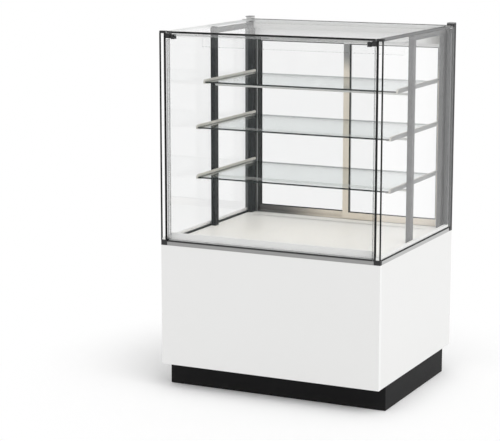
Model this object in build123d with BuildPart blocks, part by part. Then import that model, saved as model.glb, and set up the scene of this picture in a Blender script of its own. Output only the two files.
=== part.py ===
from build123d import *
from math import cos, radians, sin, sqrt
import os

# Refrigerated display merchandiser: white base on a black plinth, glass cube
# above with three shelves, lift-up front glass and two sliding rear doors.
# Millimetres. X across (customer's right is +X), Y back, Z up.
# Origin: on the floor, under the middle of the footprint.

# Overall size
width = 900
depth = 770
plinth_height = 95
body_height = 469
trim_height = 14
glass_rise = 802
post_rise = 10

# Clearances
fit_gap = 0.3
slide_gap = 1.0
shaft_clearance = 0.05

# Base cabinet
front_panel_thick = 19
side_panel_thick = 18
rear_panel_depth = 13
rear_panel_recess = 3
sheet = 1.5
plinth_front_inset = 73
plinth_rear_inset = 82
plinth_side_inset = 1
plinth_thick = 18
floor_clearance = 2
base_plate_thick = 2
tube = 30
tube_wall = 2

# Insulated well under the deck
well_wall = 30
well_floor = 40
well_depth = 150

# Side glass units, from the outside in, and the trim under them
outer_pane = 4
side_air_gap = 15
inner_pane = 6
seat_seal = 4
edge_strip = 2
trim_width = 26

# Front glass unit
front_pane = 4
front_air_gap = 14
front_side_gap = 6

# Rear structure and sliding doors
rear_structure = 35
door_thick = 10
door_stile = 26
door_rail = 26
door_overlap = 26
door_glass = 5

# Inner side frames
frame_width = 19
frame_depth = 28
frame_rail = 20
front_upright_setback = 370

# Shelves: top of glass above the deck, and setback of the front edge
lower_shelf_height = 223
middle_shelf_height = 418
upper_shelf_height = 588
lower_shelf_setback = 206
middle_shelf_setback = 206
upper_shelf_setback = 270
shelf_glass = 6
bracket_width = 8
bracket_height = 16
bracket_lip = 12
bracket_sheet = 2

# Planes that the pieces share
half = width / 2
front = -depth / 2
back = depth / 2
body_base = plinth_height
body_top = body_base + body_height
deck_z = body_top + trim_height
cap_top = deck_z + glass_rise
post_top = cap_top + post_rise
panel_y = front + front_panel_thick
service_face = back - rear_panel_recess
service_y = service_face - rear_panel_depth
side_x = half - side_panel_thick
floor_z = body_base + base_plate_thick
glass_x = half - outer_pane - side_air_gap - inner_pane
trim_x = half - trim_width
rear_y = back - rear_structure
well_x = side_x - tube
well_front = panel_y + tube
well_back = service_y - tube
well_base = body_top - well_depth - well_floor


def block(x, y, z, mode=Mode.ADD):
    """Box between a low and a high value on each axis."""
    with Locations(((x[0] + x[1]) / 2, (y[0] + y[1]) / 2, (z[0] + z[1]) / 2)):
        Box(x[1] - x[0], y[1] - y[0], z[1] - z[0], mode=mode)


def hollow_tube(x, y, z, run):
    """Square tube between the same values, open at both ends of axis number run."""
    block(x, y, z)
    bore = [(v[0] + tube_wall, v[1] - tube_wall) for v in (x, y, z)]
    bore[run] = (x, y, z)[run]
    block(*bore, mode=Mode.SUBTRACT)


def both_sides(x0, x1):
    """The same span of X on the left and on the right."""
    return (-x1, -x0), (x0, x1)


def save(piece, label):
    """Label a finished piece and write it to its own file."""
    piece.part.label = label
    export_step(piece.part, f"parts/{label}.step")


os.makedirs("parts", exist_ok=True)

# Levelling feet: pad, stud, lock nut and top plate
foot_radius = 22
foot_pad = 9
foot_nut = 8
stud_radius = 5
foot_plate = 46
foot_plate_thick = 4
foot_inset_x = 70
foot_inset_y = 45
foot_x = half - foot_inset_x
foot_front = front + plinth_front_inset + foot_inset_y
foot_back = back - plinth_rear_inset - foot_inset_y
foot_neck = body_base - foot_plate_thick
with BuildPart() as foot:
    with BuildSketch(Plane.XZ):
        with BuildLine():
            Polyline(
                (0, 0), (foot_radius, 0), (foot_radius, foot_pad / 2), (foot_radius * 0.6, foot_pad),
                (stud_radius, foot_pad), (stud_radius, foot_neck), (0, foot_neck), close=True,
            )
        make_face()
    revolve(axis=Axis.Z)
    with BuildSketch(Plane.XY.offset(foot_pad)):
        RegularPolygon(stud_radius * 1.9, 6)
    extrude(amount=foot_nut)
    with BuildSketch(Plane.XY.offset(foot_neck)):
        RectangleRounded(foot_plate, foot_plate, 5)
    extrude(amount=foot_plate_thick)
with BuildPart() as levelling_feet:
    with Locations(*[(x, y, 0) for x in (-foot_x, foot_x) for y in (foot_front, foot_back)]):
        add(foot.part)
save(levelling_feet, "levelling_feet")

# Plinth: four black boards under the cabinet
plinth_x = half - plinth_side_inset
plinth_y0 = front + plinth_front_inset
plinth_y1 = back - plinth_rear_inset
plinth_z = (floor_clearance, body_base)
plinth_run = (plinth_y0 + plinth_thick + fit_gap, plinth_y1 - plinth_thick - fit_gap)
with BuildPart() as plinth_panels:
    block((-plinth_x, plinth_x), (plinth_y0, plinth_y0 + plinth_thick), plinth_z)
    block((-plinth_x, plinth_x), (plinth_y1 - plinth_thick, plinth_y1), plinth_z)
    for side in both_sides(plinth_x - plinth_thick, plinth_x):
        block(side, plinth_run, plinth_z)
save(plinth_panels, "plinth_panels")

# Base plate with intake slots below the condenser
condenser_x = -width / 5
slot_pitch = 16
slot_width = 7
slot_length = 90
intake_y = service_y - 150
with BuildPart() as base_plate:
    block((-side_x, side_x), (panel_y, service_y), (body_base, floor_z))
    with BuildSketch(Plane.XY.offset(floor_z)):
        with Locations((condenser_x, intake_y)):
            with GridLocations(slot_pitch, 0, 12, 1):
                SlotOverall(slot_length, slot_width, rotation=90)
    extrude(amount=-base_plate_thick, mode=Mode.SUBTRACT)
save(base_plate, "base_plate")

# Chassis of square tubes: lower ring, four posts, upper ring
tube_x = (side_x - tube, side_x)
tube_front = (panel_y, panel_y + tube)
tube_back = (service_y - tube, service_y)
side_run = (panel_y + tube + fit_gap, service_y - tube - fit_gap)
lower_z = (floor_z, floor_z + tube)
upper_z = (body_top - tube, body_top)
post_z = (lower_z[1] + fit_gap, upper_z[0] - fit_gap)
with BuildPart() as chassis_frame:
    for ring_z in (lower_z, upper_z):
        hollow_tube((-side_x, side_x), tube_front, ring_z, 0)
        hollow_tube((-side_x, side_x), tube_back, ring_z, 0)
        for side in both_sides(*tube_x):
            hollow_tube(side, side_run, ring_z, 1)
    for side in both_sides(*tube_x):
        for end in (tube_front, tube_back):
            hollow_tube(side, end, post_z, 2)
save(chassis_frame, "chassis_frame")

# White front panel, full width, with softened outer edges
edge_round = 1.2
with BuildPart() as front_panel:
    block((-half, half), (front, panel_y), (body_base, body_top))
    fillet(front_panel.faces().sort_by(Axis.Y)[0].edges(), edge_round)
save(front_panel, "front_panel")

# White side panels between the front panel and the rear edge
with BuildPart() as side_panels:
    for side in both_sides(side_x, half):
        block(side, (panel_y + fit_gap, service_face), (body_base, body_top))
    outer_edges = side_panels.edges().filter_by(Axis.Y)
    fillet(outer_edges.group_by(Axis.X)[0] + outer_edges.group_by(Axis.X)[-1], edge_round)
save(side_panels, "side_panels")

# Rear louvred panel: folded tray with pressed louvres
louvre_split = body_base + body_height * 0.64
service_x = side_x - fit_gap
louvre_length = 170
louvre_pitch = 24
louvre_rows = 9
louvre_reach = 2.4
louvre_drop = 9
louvre_slot = 7
louvre_z = body_base + 45
louvre_columns = [-width / 3, -width / 9, width / 9, width / 3]
louvre_points = [
    (x, service_face, louvre_z + row * louvre_pitch)
    for x in louvre_columns
    for row in range(louvre_rows)
]
with BuildPart() as louvre_hood:
    with BuildSketch(Plane.YZ.offset(-louvre_length / 2)):
        with BuildLine():
            ThreePointArc((0, louvre_drop), (louvre_reach * 0.75, louvre_drop * 0.62), (louvre_reach, 0))
            Polyline(
                (louvre_reach, 0), (louvre_reach - 0.8, 0), (0, louvre_drop - 2.2),
                (-sheet / 2, louvre_drop - 1), (-sheet / 2, louvre_drop), (0, louvre_drop),
            )
        make_face()
    extrude(amount=louvre_length)
with BuildPart() as rear_louvred_panel:
    block((-service_x, service_x), (service_y, service_face), (floor_z, louvre_split))
    block(
        (sheet - service_x, service_x - sheet), (service_y, service_face - sheet),
        (floor_z + sheet, louvre_split - sheet), Mode.SUBTRACT,
    )
    with Locations(*louvre_points):
        block((1 - louvre_length / 2, louvre_length / 2 - 1), (-sheet, 0), (0, louvre_slot), Mode.SUBTRACT)
    with Locations(*louvre_points):
        add(louvre_hood.part)
save(rear_louvred_panel, "rear_louvred_panel")

# Rear control fascia above it, with cut-outs for the controller and light switch
controller_x = width / 4
controller_z = louvre_split + 92
controller_size = (70, 28)
controller_bezel = (78, 36)
bezel_depth = 2.4
switch_x = controller_x + 85
switch_size = (13, 19)
with BuildPart() as control_fascia:
    block((-service_x, service_x), (service_y, service_face), (louvre_split + fit_gap, body_top))
    block(
        (sheet - service_x, service_x - sheet), (service_y, service_face - sheet),
        (louvre_split + fit_gap + sheet, body_top - sheet), Mode.SUBTRACT,
    )
    with BuildSketch(Plane.XZ.offset(-service_face)):
        with Locations((controller_x, controller_z)):
            Rectangle(controller_size[0] + 2 * fit_gap, controller_size[1] + 2 * fit_gap)
        with Locations((switch_x, controller_z)):
            Rectangle(switch_size[0] + 2 * fit_gap, switch_size[1] + 2 * fit_gap)
    extrude(amount=sheet, mode=Mode.SUBTRACT)
save(control_fascia, "control_fascia")

# Controller and switch housings behind the fascia
housing_depth = 36
window_size = (34, 17)
window_x = controller_x - 12
window_depth = 1
button_radius = 3.2
button_gap = 0.35
button_x = controller_x + 22
button_pitch = 9.5
button_depth = 6
with BuildPart() as control_housing:
    with BuildSketch(Plane.XZ.offset(-service_face)):
        with Locations((controller_x, controller_z)):
            RectangleRounded(*controller_bezel, 3)
    extrude(amount=-bezel_depth)
    fillet(control_housing.faces().sort_by(Axis.Y)[-1].edges(), 1)
    block(
        (controller_x - controller_size[0] / 2, controller_x + controller_size[0] / 2),
        (service_face - housing_depth, service_face),
        (controller_z - controller_size[1] / 2, controller_z + controller_size[1] / 2),
    )
    with BuildSketch(Plane.XZ.offset(-service_face - bezel_depth)):
        with Locations((window_x, controller_z)):
            Rectangle(window_size[0] + 2 * fit_gap, window_size[1] + 2 * fit_gap)
    extrude(amount=window_depth + fit_gap, mode=Mode.SUBTRACT)
    with BuildSketch(Plane.XZ.offset(-service_face - bezel_depth)):
        with Locations((button_x, controller_z)):
            with GridLocations(0, button_pitch, 1, 3):
                Circle(button_radius + button_gap)
    extrude(amount=button_depth + 2, mode=Mode.SUBTRACT)
    with BuildSketch(Plane.XZ.offset(-service_face)):
        with Locations((switch_x, controller_z)):
            Rectangle(switch_size[0] + 4, switch_size[1] + 4)
    extrude(amount=-1)
    block(
        (switch_x - switch_size[0] / 2, switch_x + switch_size[0] / 2),
        (service_face - housing_depth / 2, service_face),
        (controller_z - switch_size[1] / 2, controller_z + switch_size[1] / 2),
    )
    block(
        (switch_x - switch_size[0] / 2 + 1, switch_x + switch_size[0] / 2 - 1),
        (service_face - 7, service_face + 1),
        (controller_z - switch_size[1] / 2 + 1, controller_z + switch_size[1] / 2 - 1), Mode.SUBTRACT,
    )
save(control_housing, "control_housing")

# Dark window over the controller's digits
with BuildPart() as display_window:
    with BuildSketch(Plane.XZ.offset(-service_face - bezel_depth)):
        with Locations((window_x, controller_z)):
            Rectangle(*window_size)
    extrude(amount=window_depth)
save(display_window, "display_window")

# Three push buttons
button_proud = 0.6
for label, step in (("up_button", 1), ("set_button", 0), ("down_button", -1)):
    with BuildPart() as button:
        with BuildSketch(Plane.XZ.offset(-service_face - bezel_depth - button_proud)):
            with Locations((button_x, controller_z + step * button_pitch)):
                Circle(button_radius)
        extrude(amount=button_depth + button_proud)
        fillet(button.faces().sort_by(Axis.Y)[-1].edges(), 0.5)
    save(button, label)

# Light switch rocker, tipped to off about a pin across X
rocker_tilt = 8
rocker_height = switch_size[1] - 3
rocker_width = switch_size[0] - 2.6
rocker_pivot_y = service_face - 2.5
rocker_crown = 3.4
rocker_up = (0, cos(radians(rocker_tilt)), sin(radians(rocker_tilt)))
rocker_plane = Plane(origin=(switch_x, rocker_pivot_y, controller_z), x_dir=rocker_up, z_dir=(1, 0, 0))
with BuildPart() as light_switch:
    with BuildSketch(rocker_plane):
        with BuildLine():
            Polyline(
                (rocker_crown, rocker_height / 2 - 1), (0, rocker_height / 2 - 1), (-3, 3), (-3, -3),
                (0, 1 - rocker_height / 2), (rocker_crown, 1 - rocker_height / 2),
            )
            ThreePointArc(
                (rocker_crown, 1 - rocker_height / 2), (rocker_crown - 0.9, 0),
                (rocker_crown, rocker_height / 2 - 1),
            )
        make_face()
    extrude(amount=rocker_width / 2, both=True)
save(light_switch, "light_switch")

# Cable gland under the base plate, blanked
gland_x = -width / 3
gland_y = service_y - 26
gland_radius = 11
gland_drop = 24
with BuildPart() as cable_gland:
    with BuildSketch(Plane.XY.offset(body_base)):
        with Locations((gland_x, gland_y)):
            RegularPolygon(gland_radius * 1.2, 6)
    extrude(amount=-6)
    with Locations((gland_x, gland_y, body_base - 6)):
        Cone(gland_radius * 0.7, gland_radius, gland_drop - 6, align=(Align.CENTER, Align.CENTER, Align.MAX))
save(cable_gland, "cable_gland")

# Insulated well: five foamed panels with holes for the pipes and the drain
pipe_radius = 5
pipe_hole = pipe_radius + 1
drain_radius = 12
drain_y = well_back - well_wall - 45
well_inner_x = well_x - well_wall
well_inner_front = well_front + well_wall
well_inner_back = well_back - well_wall
well_floor_top = well_base + well_floor
liquid_entry = (well_inner_x - 32, well_floor_top + 62)
suction_entry = (well_inner_x - 12, well_floor_top + 31)
with BuildPart() as insulated_well:
    block((-well_x, well_x), (well_front, well_back), (well_base, well_floor_top))
    with Locations((0, drain_y, well_floor_top)):
        Cylinder(
            drain_radius + fit_gap, well_floor, align=(Align.CENTER, Align.CENTER, Align.MAX),
            mode=Mode.SUBTRACT,
        )
    wall_z = (well_floor_top + fit_gap, body_top)
    block((-well_x, well_x), (well_front, well_inner_front), wall_z)
    block((-well_x, well_x), (well_inner_back, well_back), wall_z)
    with BuildSketch(Plane.XZ.offset(-well_back)):
        with Locations(liquid_entry, suction_entry):
            Circle(pipe_hole)
    extrude(amount=well_wall, mode=Mode.SUBTRACT)
    for side in both_sides(well_inner_x, well_x):
        block(side, (well_inner_front + fit_gap, well_inner_back - fit_gap), wall_z)
save(insulated_well, "insulated_well")

# Drain spout through the well floor
tray_height = 46
tray_wall = 1.5
drain_end = floor_z + tray_height * 0.7
with BuildPart() as drain_spout:
    with BuildSketch(Plane.XZ.offset(-drain_y)):
        with BuildLine():
            Polyline(
                (drain_radius - 2, drain_end), (drain_radius, drain_end),
                (drain_radius, well_floor_top), (drain_radius * 1.6, well_floor_top),
                (drain_radius * 1.6, well_floor_top + 1.5), (drain_radius - 2, well_floor_top + 1.5),
                close=True,
            )
        make_face()
    revolve(axis=Axis((0, drain_y, 0), (0, 0, 1)))
save(drain_spout, "drain_spout")

# Evaporation tray on the base plate, under the drain
tray_x = (-30, 150)
tray_length = 210
tray_back = 40
tray_y = (drain_y + tray_back - tray_length, drain_y + tray_back)
with BuildPart() as evaporation_tray:
    block(tray_x, tray_y, (floor_z, floor_z + tray_height))
    fillet(evaporation_tray.edges().filter_by(Axis.Z), 12)
    offset(amount=-tray_wall, openings=evaporation_tray.faces().sort_by(Axis.Z)[-1])
save(evaporation_tray, "evaporation_tray")


def finned_coil(x, y, z, fins, fin_thick, reveal):
    """Core block with fins standing out of it by reveal, between two end plates."""
    block(x, (y[0] + reveal, y[1] - reveal), (z[0] + reveal, z[1] - reveal))
    pitch = (x[1] - x[0] - 2 * fin_thick) / (fins + 1)
    for i in range(fins):
        fin_x = x[0] + fin_thick + (i + 1) * pitch
        block((fin_x - fin_thick / 2, fin_x + fin_thick / 2), y, z)
    for end in ((x[0] - 2, x[0]), (x[1], x[1] + 2)):
        block(end, (y[0] - 2, y[1] + 2), (z[0] - 2, z[1] + 2))


# Evaporator in the well
evaporator_x = (-well_inner_x + 60, well_inner_x - 60)
evaporator_y = (-35, 85)
evaporator_z = (well_floor_top + 2, well_floor_top + 96)
with BuildPart() as evaporator_coil:
    finned_coil(evaporator_x, evaporator_y, evaporator_z, 26, 1.2, 4)
save(evaporator_coil, "evaporator_coil")

# Plate with two round ducts for the evaporator fans
evaporator_fan_radius = 52
fan_tip_gap = 3
fan_panel_y = evaporator_y[0] - 48
fan_panel_thick = 2
fan_duct = 22
fan_z = (evaporator_z[0] + evaporator_z[1]) / 2 + 8
fan_spacing = well_inner_x
with BuildPart() as evaporator_fan_panel:
    block(
        (evaporator_x[0], evaporator_x[1]), (fan_panel_y, fan_panel_y + fan_panel_thick),
        (well_floor_top, evaporator_z[1] + 22),
    )
    with BuildSketch(Plane.XZ.offset(-fan_panel_y)):
        with Locations((0, fan_z)):
            with GridLocations(fan_spacing, 0, 2, 1):
                Circle(evaporator_fan_radius + fan_tip_gap + fan_panel_thick)
    extrude(amount=-fan_duct)
    with BuildSketch(Plane.XZ.offset(-fan_panel_y)):
        with Locations((0, fan_z)):
            with GridLocations(fan_spacing, 0, 2, 1):
                Circle(evaporator_fan_radius + fan_tip_gap)
    extrude(amount=-fan_duct, mode=Mode.SUBTRACT)
save(evaporator_fan_panel, "evaporator_fan_panel")


def fan_blades(centre, hub_radius, tip_radius, hub_length, blades, root_chord, tip_chord, thick, pitch, bore):
    """Hub with pitched blades about an axis along Y, bored for its shaft."""
    x0, y0, z0 = centre
    hub_plane = Plane(origin=(x0, y0 - hub_length / 2, z0), z_dir=(0, 1, 0))
    with BuildSketch(hub_plane) as hub:
        Circle(hub_radius)
    extrude(hub.sketch, amount=hub_length)
    for i in range(blades):
        turn = radians(360 / blades * i)
        radial = Vector(cos(turn), 0, sin(turn))
        tangent = Vector(-sin(turn), 0, cos(turn))
        normal = Vector(0, 1, 0) * cos(radians(pitch)) + tangent * sin(radians(pitch))
        with BuildSketch(Plane(origin=centre, x_dir=radial, z_dir=normal)) as blade:
            with BuildLine():
                Polyline(
                    (tip_radius, tip_chord / 2), (hub_radius * 0.8, root_chord / 2),
                    (hub_radius * 0.8, -root_chord / 2), (tip_radius * 0.93, -tip_chord / 2),
                )
                ThreePointArc(
                    (tip_radius * 0.93, -tip_chord / 2), (tip_radius * 1.01, 0), (tip_radius, tip_chord / 2)
                )
            make_face()
        extrude(blade.sketch, amount=thick / 2, both=True)
    with BuildSketch(hub_plane) as shaft_hole:
        Circle(bore)
    extrude(shaft_hole.sketch, amount=hub_length * 0.8, mode=Mode.SUBTRACT)


def fan_motor(centre, radius, length, shaft, shaft_length, arm_reach, arm_width, foot_length):
    """Round motor in front of a fan, with its shaft, four arms, and feet back to the fan's duct."""
    x0, y0, z0 = centre
    face = Plane(origin=centre, x_dir=(1, 0, 0), z_dir=(0, 1, 0))
    arm_plane = Plane(origin=(x0, y0 - length * 0.3, z0), x_dir=(1, 0, 0), z_dir=(0, 1, 0))
    with BuildSketch(face) as case:
        Circle(radius)
    extrude(case.sketch, amount=-length)
    with BuildSketch(face) as spindle:
        Circle(shaft)
    extrude(spindle.sketch, amount=shaft_length)
    with BuildSketch(arm_plane) as arms:
        Rectangle(2 * arm_reach, arm_width, rotation=45)
        Rectangle(2 * arm_reach, arm_width, rotation=-45)
    extrude(arms.sketch, amount=4)
    foot_point = (arm_reach - arm_width / 2) * cos(radians(45))
    with BuildSketch(arm_plane) as feet:
        with GridLocations(2 * foot_point, 2 * foot_point, 2, 2):
            Circle(arm_width / 2)
    extrude(feet.sketch, amount=length * 0.3 + foot_length)


# Evaporator fans and motors
fan_hub_length = 16
evaporator_fan_y = fan_panel_y + fan_duct / 2
evaporator_motor_y = evaporator_fan_y - fan_hub_length / 2 - 3
evaporator_motor_length = 34
with BuildPart() as evaporator_fan_motors:
    for x in (-fan_spacing / 2, fan_spacing / 2):
        fan_motor(
            (x, evaporator_motor_y, fan_z), 19, evaporator_motor_length, 2, 12,
            evaporator_fan_radius + 14, 8, fan_panel_y - evaporator_motor_y,
        )
save(evaporator_fan_motors, "evaporator_fan_motors")
for label, x in (("left_evaporator_fan", -fan_spacing / 2), ("right_evaporator_fan", fan_spacing / 2)):
    with BuildPart() as evaporator_fan:
        fan_blades(
            (x, evaporator_fan_y, fan_z), 15, evaporator_fan_radius - 3, fan_hub_length, 5, 20, 30, 1.6, 30,
            2 + shaft_clearance,
        )
    save(evaporator_fan, label)

# Condenser coil behind the louvred panel, standing on the rear rail
condenser_half = 140
condenser_span = (condenser_x - condenser_half, condenser_x + condenser_half)
condenser_y = (service_y - 46, service_y - 4)
condenser_foot = 6
condenser_headroom = 21
condenser_z = (lower_z[1] + condenser_foot, well_base - condenser_headroom)
with BuildPart() as condenser_coil:
    finned_coil(condenser_span, condenser_y, condenser_z, 22, 1.2, 5)
    for x in condenser_span:
        block((x - 12, x + 12), (condenser_y[0] + 6, condenser_y[1] - 6), (lower_z[1], condenser_z[0]))
save(condenser_coil, "condenser_coil")

# Condenser shroud: open box against the coil, with a collar round the fan
fan_border = 12
condenser_fan_radius = (condenser_z[1] - condenser_z[0]) / 2 - fan_border
shroud_depth = 24
shroud_wall = 2
collar_length = 26
shroud_y = condenser_y[0] - 2 - shroud_depth
fan_centre_z = (condenser_z[0] + condenser_z[1]) / 2
collar_radius = condenser_fan_radius + fan_tip_gap + 2
with BuildPart() as condenser_shroud:
    block(condenser_span, (shroud_y, shroud_y + shroud_depth), condenser_z)
    fillet(condenser_shroud.edges().filter_by(Axis.Y), 14)
    offset(amount=-shroud_wall, openings=condenser_shroud.faces().sort_by(Axis.Y)[-1])
    with BuildSketch(Plane.XZ.offset(-shroud_y)):
        with Locations((condenser_x, fan_centre_z)):
            Circle(collar_radius + shroud_wall)
    extrude(amount=collar_length)
    with BuildSketch(Plane.XZ.offset(-shroud_y - shroud_wall)):
        with Locations((condenser_x, fan_centre_z)):
            Circle(collar_radius)
    extrude(amount=collar_length + shroud_wall, mode=Mode.SUBTRACT)
save(condenser_shroud, "condenser_shroud")

# Condenser fan and motor
condenser_fan_y = shroud_y - collar_length / 2
condenser_motor_y = shroud_y - collar_length - 8
condenser_motor_length = 62
condenser_shaft = 3
condenser_hub = 30
with BuildPart() as condenser_fan_motor:
    fan_motor(
        (condenser_x, condenser_motor_y, fan_centre_z), 38, condenser_motor_length, condenser_shaft, 24,
        collar_radius + 16, 11, shroud_y - condenser_motor_y,
    )
save(condenser_fan_motor, "condenser_fan_motor")
with BuildPart() as condenser_fan:
    fan_blades(
        (condenser_x, condenser_fan_y, fan_centre_z), 26, condenser_fan_radius - 4, condenser_hub, 5, 34, 52,
        2, 28, condenser_shaft + shaft_clearance,
    )
save(condenser_fan, "condenser_fan")

# Hermetic compressor: domed pot, seam flange, foot plate, terminal box and pipe stubs
compressor_x = width * 0.22
pot_radius = 76
foot_plate_length = pot_radius * 1.5
service_gap = 17
compressor_y = tray_y[0] - service_gap - foot_plate_length / 2
pot_base = floor_z + 18
pot_height = 176
seam_z = pot_base + pot_height * 0.56
dome_x = pot_radius - 2
dome_base = seam_z + 22
dome_top = pot_base + pot_height
dome_radius = (dome_x ** 2 + (dome_top - dome_base) ** 2) / (2 * (dome_top - dome_base))
dome_middle = dome_top - dome_radius + sqrt(dome_radius ** 2 - dome_x ** 2 / 4)
stub_radius = 5
stub_length = 16
discharge_z = pot_base + pot_height * 0.36
with BuildPart() as pot:
    with BuildSketch(Plane.XZ.offset(-compressor_y)):
        with BuildLine():
            Polyline((0, pot_base), (pot_radius * 0.72, pot_base))
            ThreePointArc(
                (pot_radius * 0.72, pot_base), (pot_radius * 0.93, pot_base + 10), (pot_radius, pot_base + 34)
            )
            Polyline(
                (pot_radius, pot_base + 34), (pot_radius, seam_z), (pot_radius + 4, seam_z),
                (pot_radius + 4, seam_z + 5), (dome_x, seam_z + 5), (dome_x, dome_base),
            )
            ThreePointArc((dome_x, dome_base), (dome_x / 2, dome_middle), (0, dome_top))
            Line((0, dome_top), (0, pot_base))
        make_face()
    revolve(axis=Axis((0, compressor_y, 0), (0, 0, 1)))
with BuildPart() as compressor:
    with Locations((compressor_x, 0, 0)):
        add(pot.part)
    with BuildSketch(Plane.XY.offset(pot_base)):
        with Locations((compressor_x, compressor_y)):
            RectangleRounded(2 * pot_radius + 44, foot_plate_length, 10)
    extrude(amount=3)
    block(
        (compressor_x - 26, compressor_x + 26),
        (compressor_y - pot_radius - 34, compressor_y - pot_radius + 8), (pot_base + 38, pot_base + 96),
    )
    with BuildSketch(Plane.XZ.offset(-compressor_y - pot_radius - stub_length)):
        with Locations((compressor_x - 24, discharge_z), (compressor_x + 24, discharge_z + 44)):
            Circle(stub_radius)
    extrude(amount=stub_length + 14)
save(compressor, "compressor")

# Rubber mounts under the compressor's foot plate
mount_x = pot_radius + 8
mount_y = pot_radius * 0.56
with BuildPart() as compressor_mounts:
    with BuildSketch(Plane.XY.offset(floor_z)):
        with Locations((compressor_x, compressor_y)):
            with GridLocations(2 * mount_x, 2 * mount_y, 2, 2):
                Circle(11)
    extrude(amount=pot_base - floor_z)
    chamfer(compressor_mounts.edges().filter_by(GeomType.CIRCLE), 2)
save(compressor_mounts, "compressor_mounts")

# Refrigerant pipes: discharge, liquid line with its filter drier, suction
riser_y = service_y - 9
pipe_bend = 18
condenser_end = condenser_span[1] + 2
evaporator_end = evaporator_x[1] + 2
stub_y = compressor_y + pot_radius + stub_length
bend_y = stub_y + 90
gas_x = condenser_end + 78
gas_z = condenser_z[1] - 40
liquid_z = condenser_z[0] + 48
suction_z = discharge_z + 44
discharge_route = [
    (compressor_x - 24, stub_y, discharge_z), (compressor_x - 24, bend_y, discharge_z),
    (gas_x, bend_y, discharge_z), (gas_x, bend_y, gas_z), (gas_x, riser_y, gas_z),
    (condenser_end, riser_y, gas_z),
]
liquid_route = [
    (condenser_end, riser_y, liquid_z), (liquid_entry[0], riser_y, liquid_z),
    (liquid_entry[0], riser_y, liquid_entry[1]), (liquid_entry[0], evaporator_y[0] + 50, liquid_entry[1]),
    (evaporator_end, evaporator_y[0] + 50, liquid_entry[1]),
]
suction_route = [
    (evaporator_end, evaporator_y[1] - 25, suction_entry[1]),
    (suction_entry[0], evaporator_y[1] - 25, suction_entry[1]),
    (suction_entry[0], riser_y, suction_entry[1]), (suction_entry[0], riser_y, suction_z),
    (suction_entry[0], bend_y, suction_z), (compressor_x + 24, bend_y, suction_z),
    (compressor_x + 24, stub_y, suction_z),
]
drier_radius = 9
drier_length = 90
drier_x = (condenser_end + liquid_entry[0]) / 2
with BuildPart() as refrigerant_pipes:
    for route in (discharge_route, liquid_route, suction_route):
        with BuildLine() as centreline:
            FilletPolyline(*route, radius=pipe_bend)
        with BuildSketch(Plane(origin=centreline.line @ 0, z_dir=centreline.line % 0)):
            Circle(pipe_radius)
        sweep(path=centreline.line)
    with BuildSketch(Plane(origin=(drier_x - drier_length / 2, riser_y, liquid_z), z_dir=(1, 0, 0))):
        Circle(drier_radius)
    extrude(amount=drier_length)
    circles = refrigerant_pipes.edges().filter_by(GeomType.CIRCLE)
    chamfer(circles.filter_by(lambda e: e.radius == drier_radius), drier_radius - pipe_radius - 1)
save(refrigerant_pipes, "refrigerant_pipes")

# Aluminium trim round the cabinet top, grooved for the glass seals
groove_depth = 2.5
groove_wall = 3.5
cap_depth = 15
trim_profile = [
    (0, 0), (trim_width, 0), (trim_width, trim_height), (trim_width - groove_wall, trim_height),
    (trim_width - groove_wall, trim_height - groove_depth), (groove_wall, trim_height - groove_depth),
    (groove_wall, trim_height), (0, trim_height),
]
with BuildPart() as base_trim:
    with BuildSketch(Plane(origin=(fit_gap - trim_x, front, body_top), x_dir=(0, 1, 0), z_dir=(1, 0, 0))):
        with BuildLine():
            Polyline(*trim_profile, close=True)
        make_face()
    extrude(amount=2 * (trim_x - fit_gap))
    side_start = (trim_x, front + cap_depth + fit_gap, body_top)
    with BuildSketch(Plane(origin=side_start, x_dir=(1, 0, 0), z_dir=(0, -1, 0))):
        with BuildLine():
            Polyline(*trim_profile, close=True)
        make_face()
    extrude(amount=-(rear_y - front - cap_depth - 2 * fit_gap))
    mirror(about=Plane.YZ)
save(base_trim, "base_trim")

# Upright lip behind the front glass, on a hollow foot
lip_height = 32
lip_thick = 2
lip_depth = 28
lip_y = front + trim_width + fit_gap
with BuildPart() as front_lip:
    with BuildSketch(Plane.YZ.offset(fit_gap - trim_x)):
        with BuildLine():
            Polyline(
                (lip_y, body_top), (lip_y + lip_depth, body_top), (lip_y + lip_depth, deck_z),
                (lip_y + lip_thick, deck_z), (lip_y + lip_thick, deck_z + lip_height - lip_thick / 2),
            )
            ThreePointArc(
                (lip_y + lip_thick, deck_z + lip_height - lip_thick / 2),
                (lip_y + lip_thick / 2, deck_z + lip_height), (lip_y, deck_z + lip_height - lip_thick / 2),
            )
            Line((lip_y, deck_z + lip_height - lip_thick / 2), (lip_y, body_top))
        make_face()
        with Locations((lip_y + lip_depth / 2, (body_top + deck_z) / 2)):
            Rectangle(lip_depth - 2 * lip_thick, trim_height - 2 * lip_thick, mode=Mode.SUBTRACT)
    extrude(amount=2 * (trim_x - fit_gap))
save(front_lip, "front_lip")


def folded_pan(x, y):
    """Sheet pan turned down at all four edges, standing on the well's rim."""
    block(x, y, (body_top, deck_z))
    block(
        (x[0] + sheet, x[1] - sheet), (y[0] + sheet, y[1] - sheet), (body_top, deck_z - sheet), Mode.SUBTRACT
    )


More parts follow.
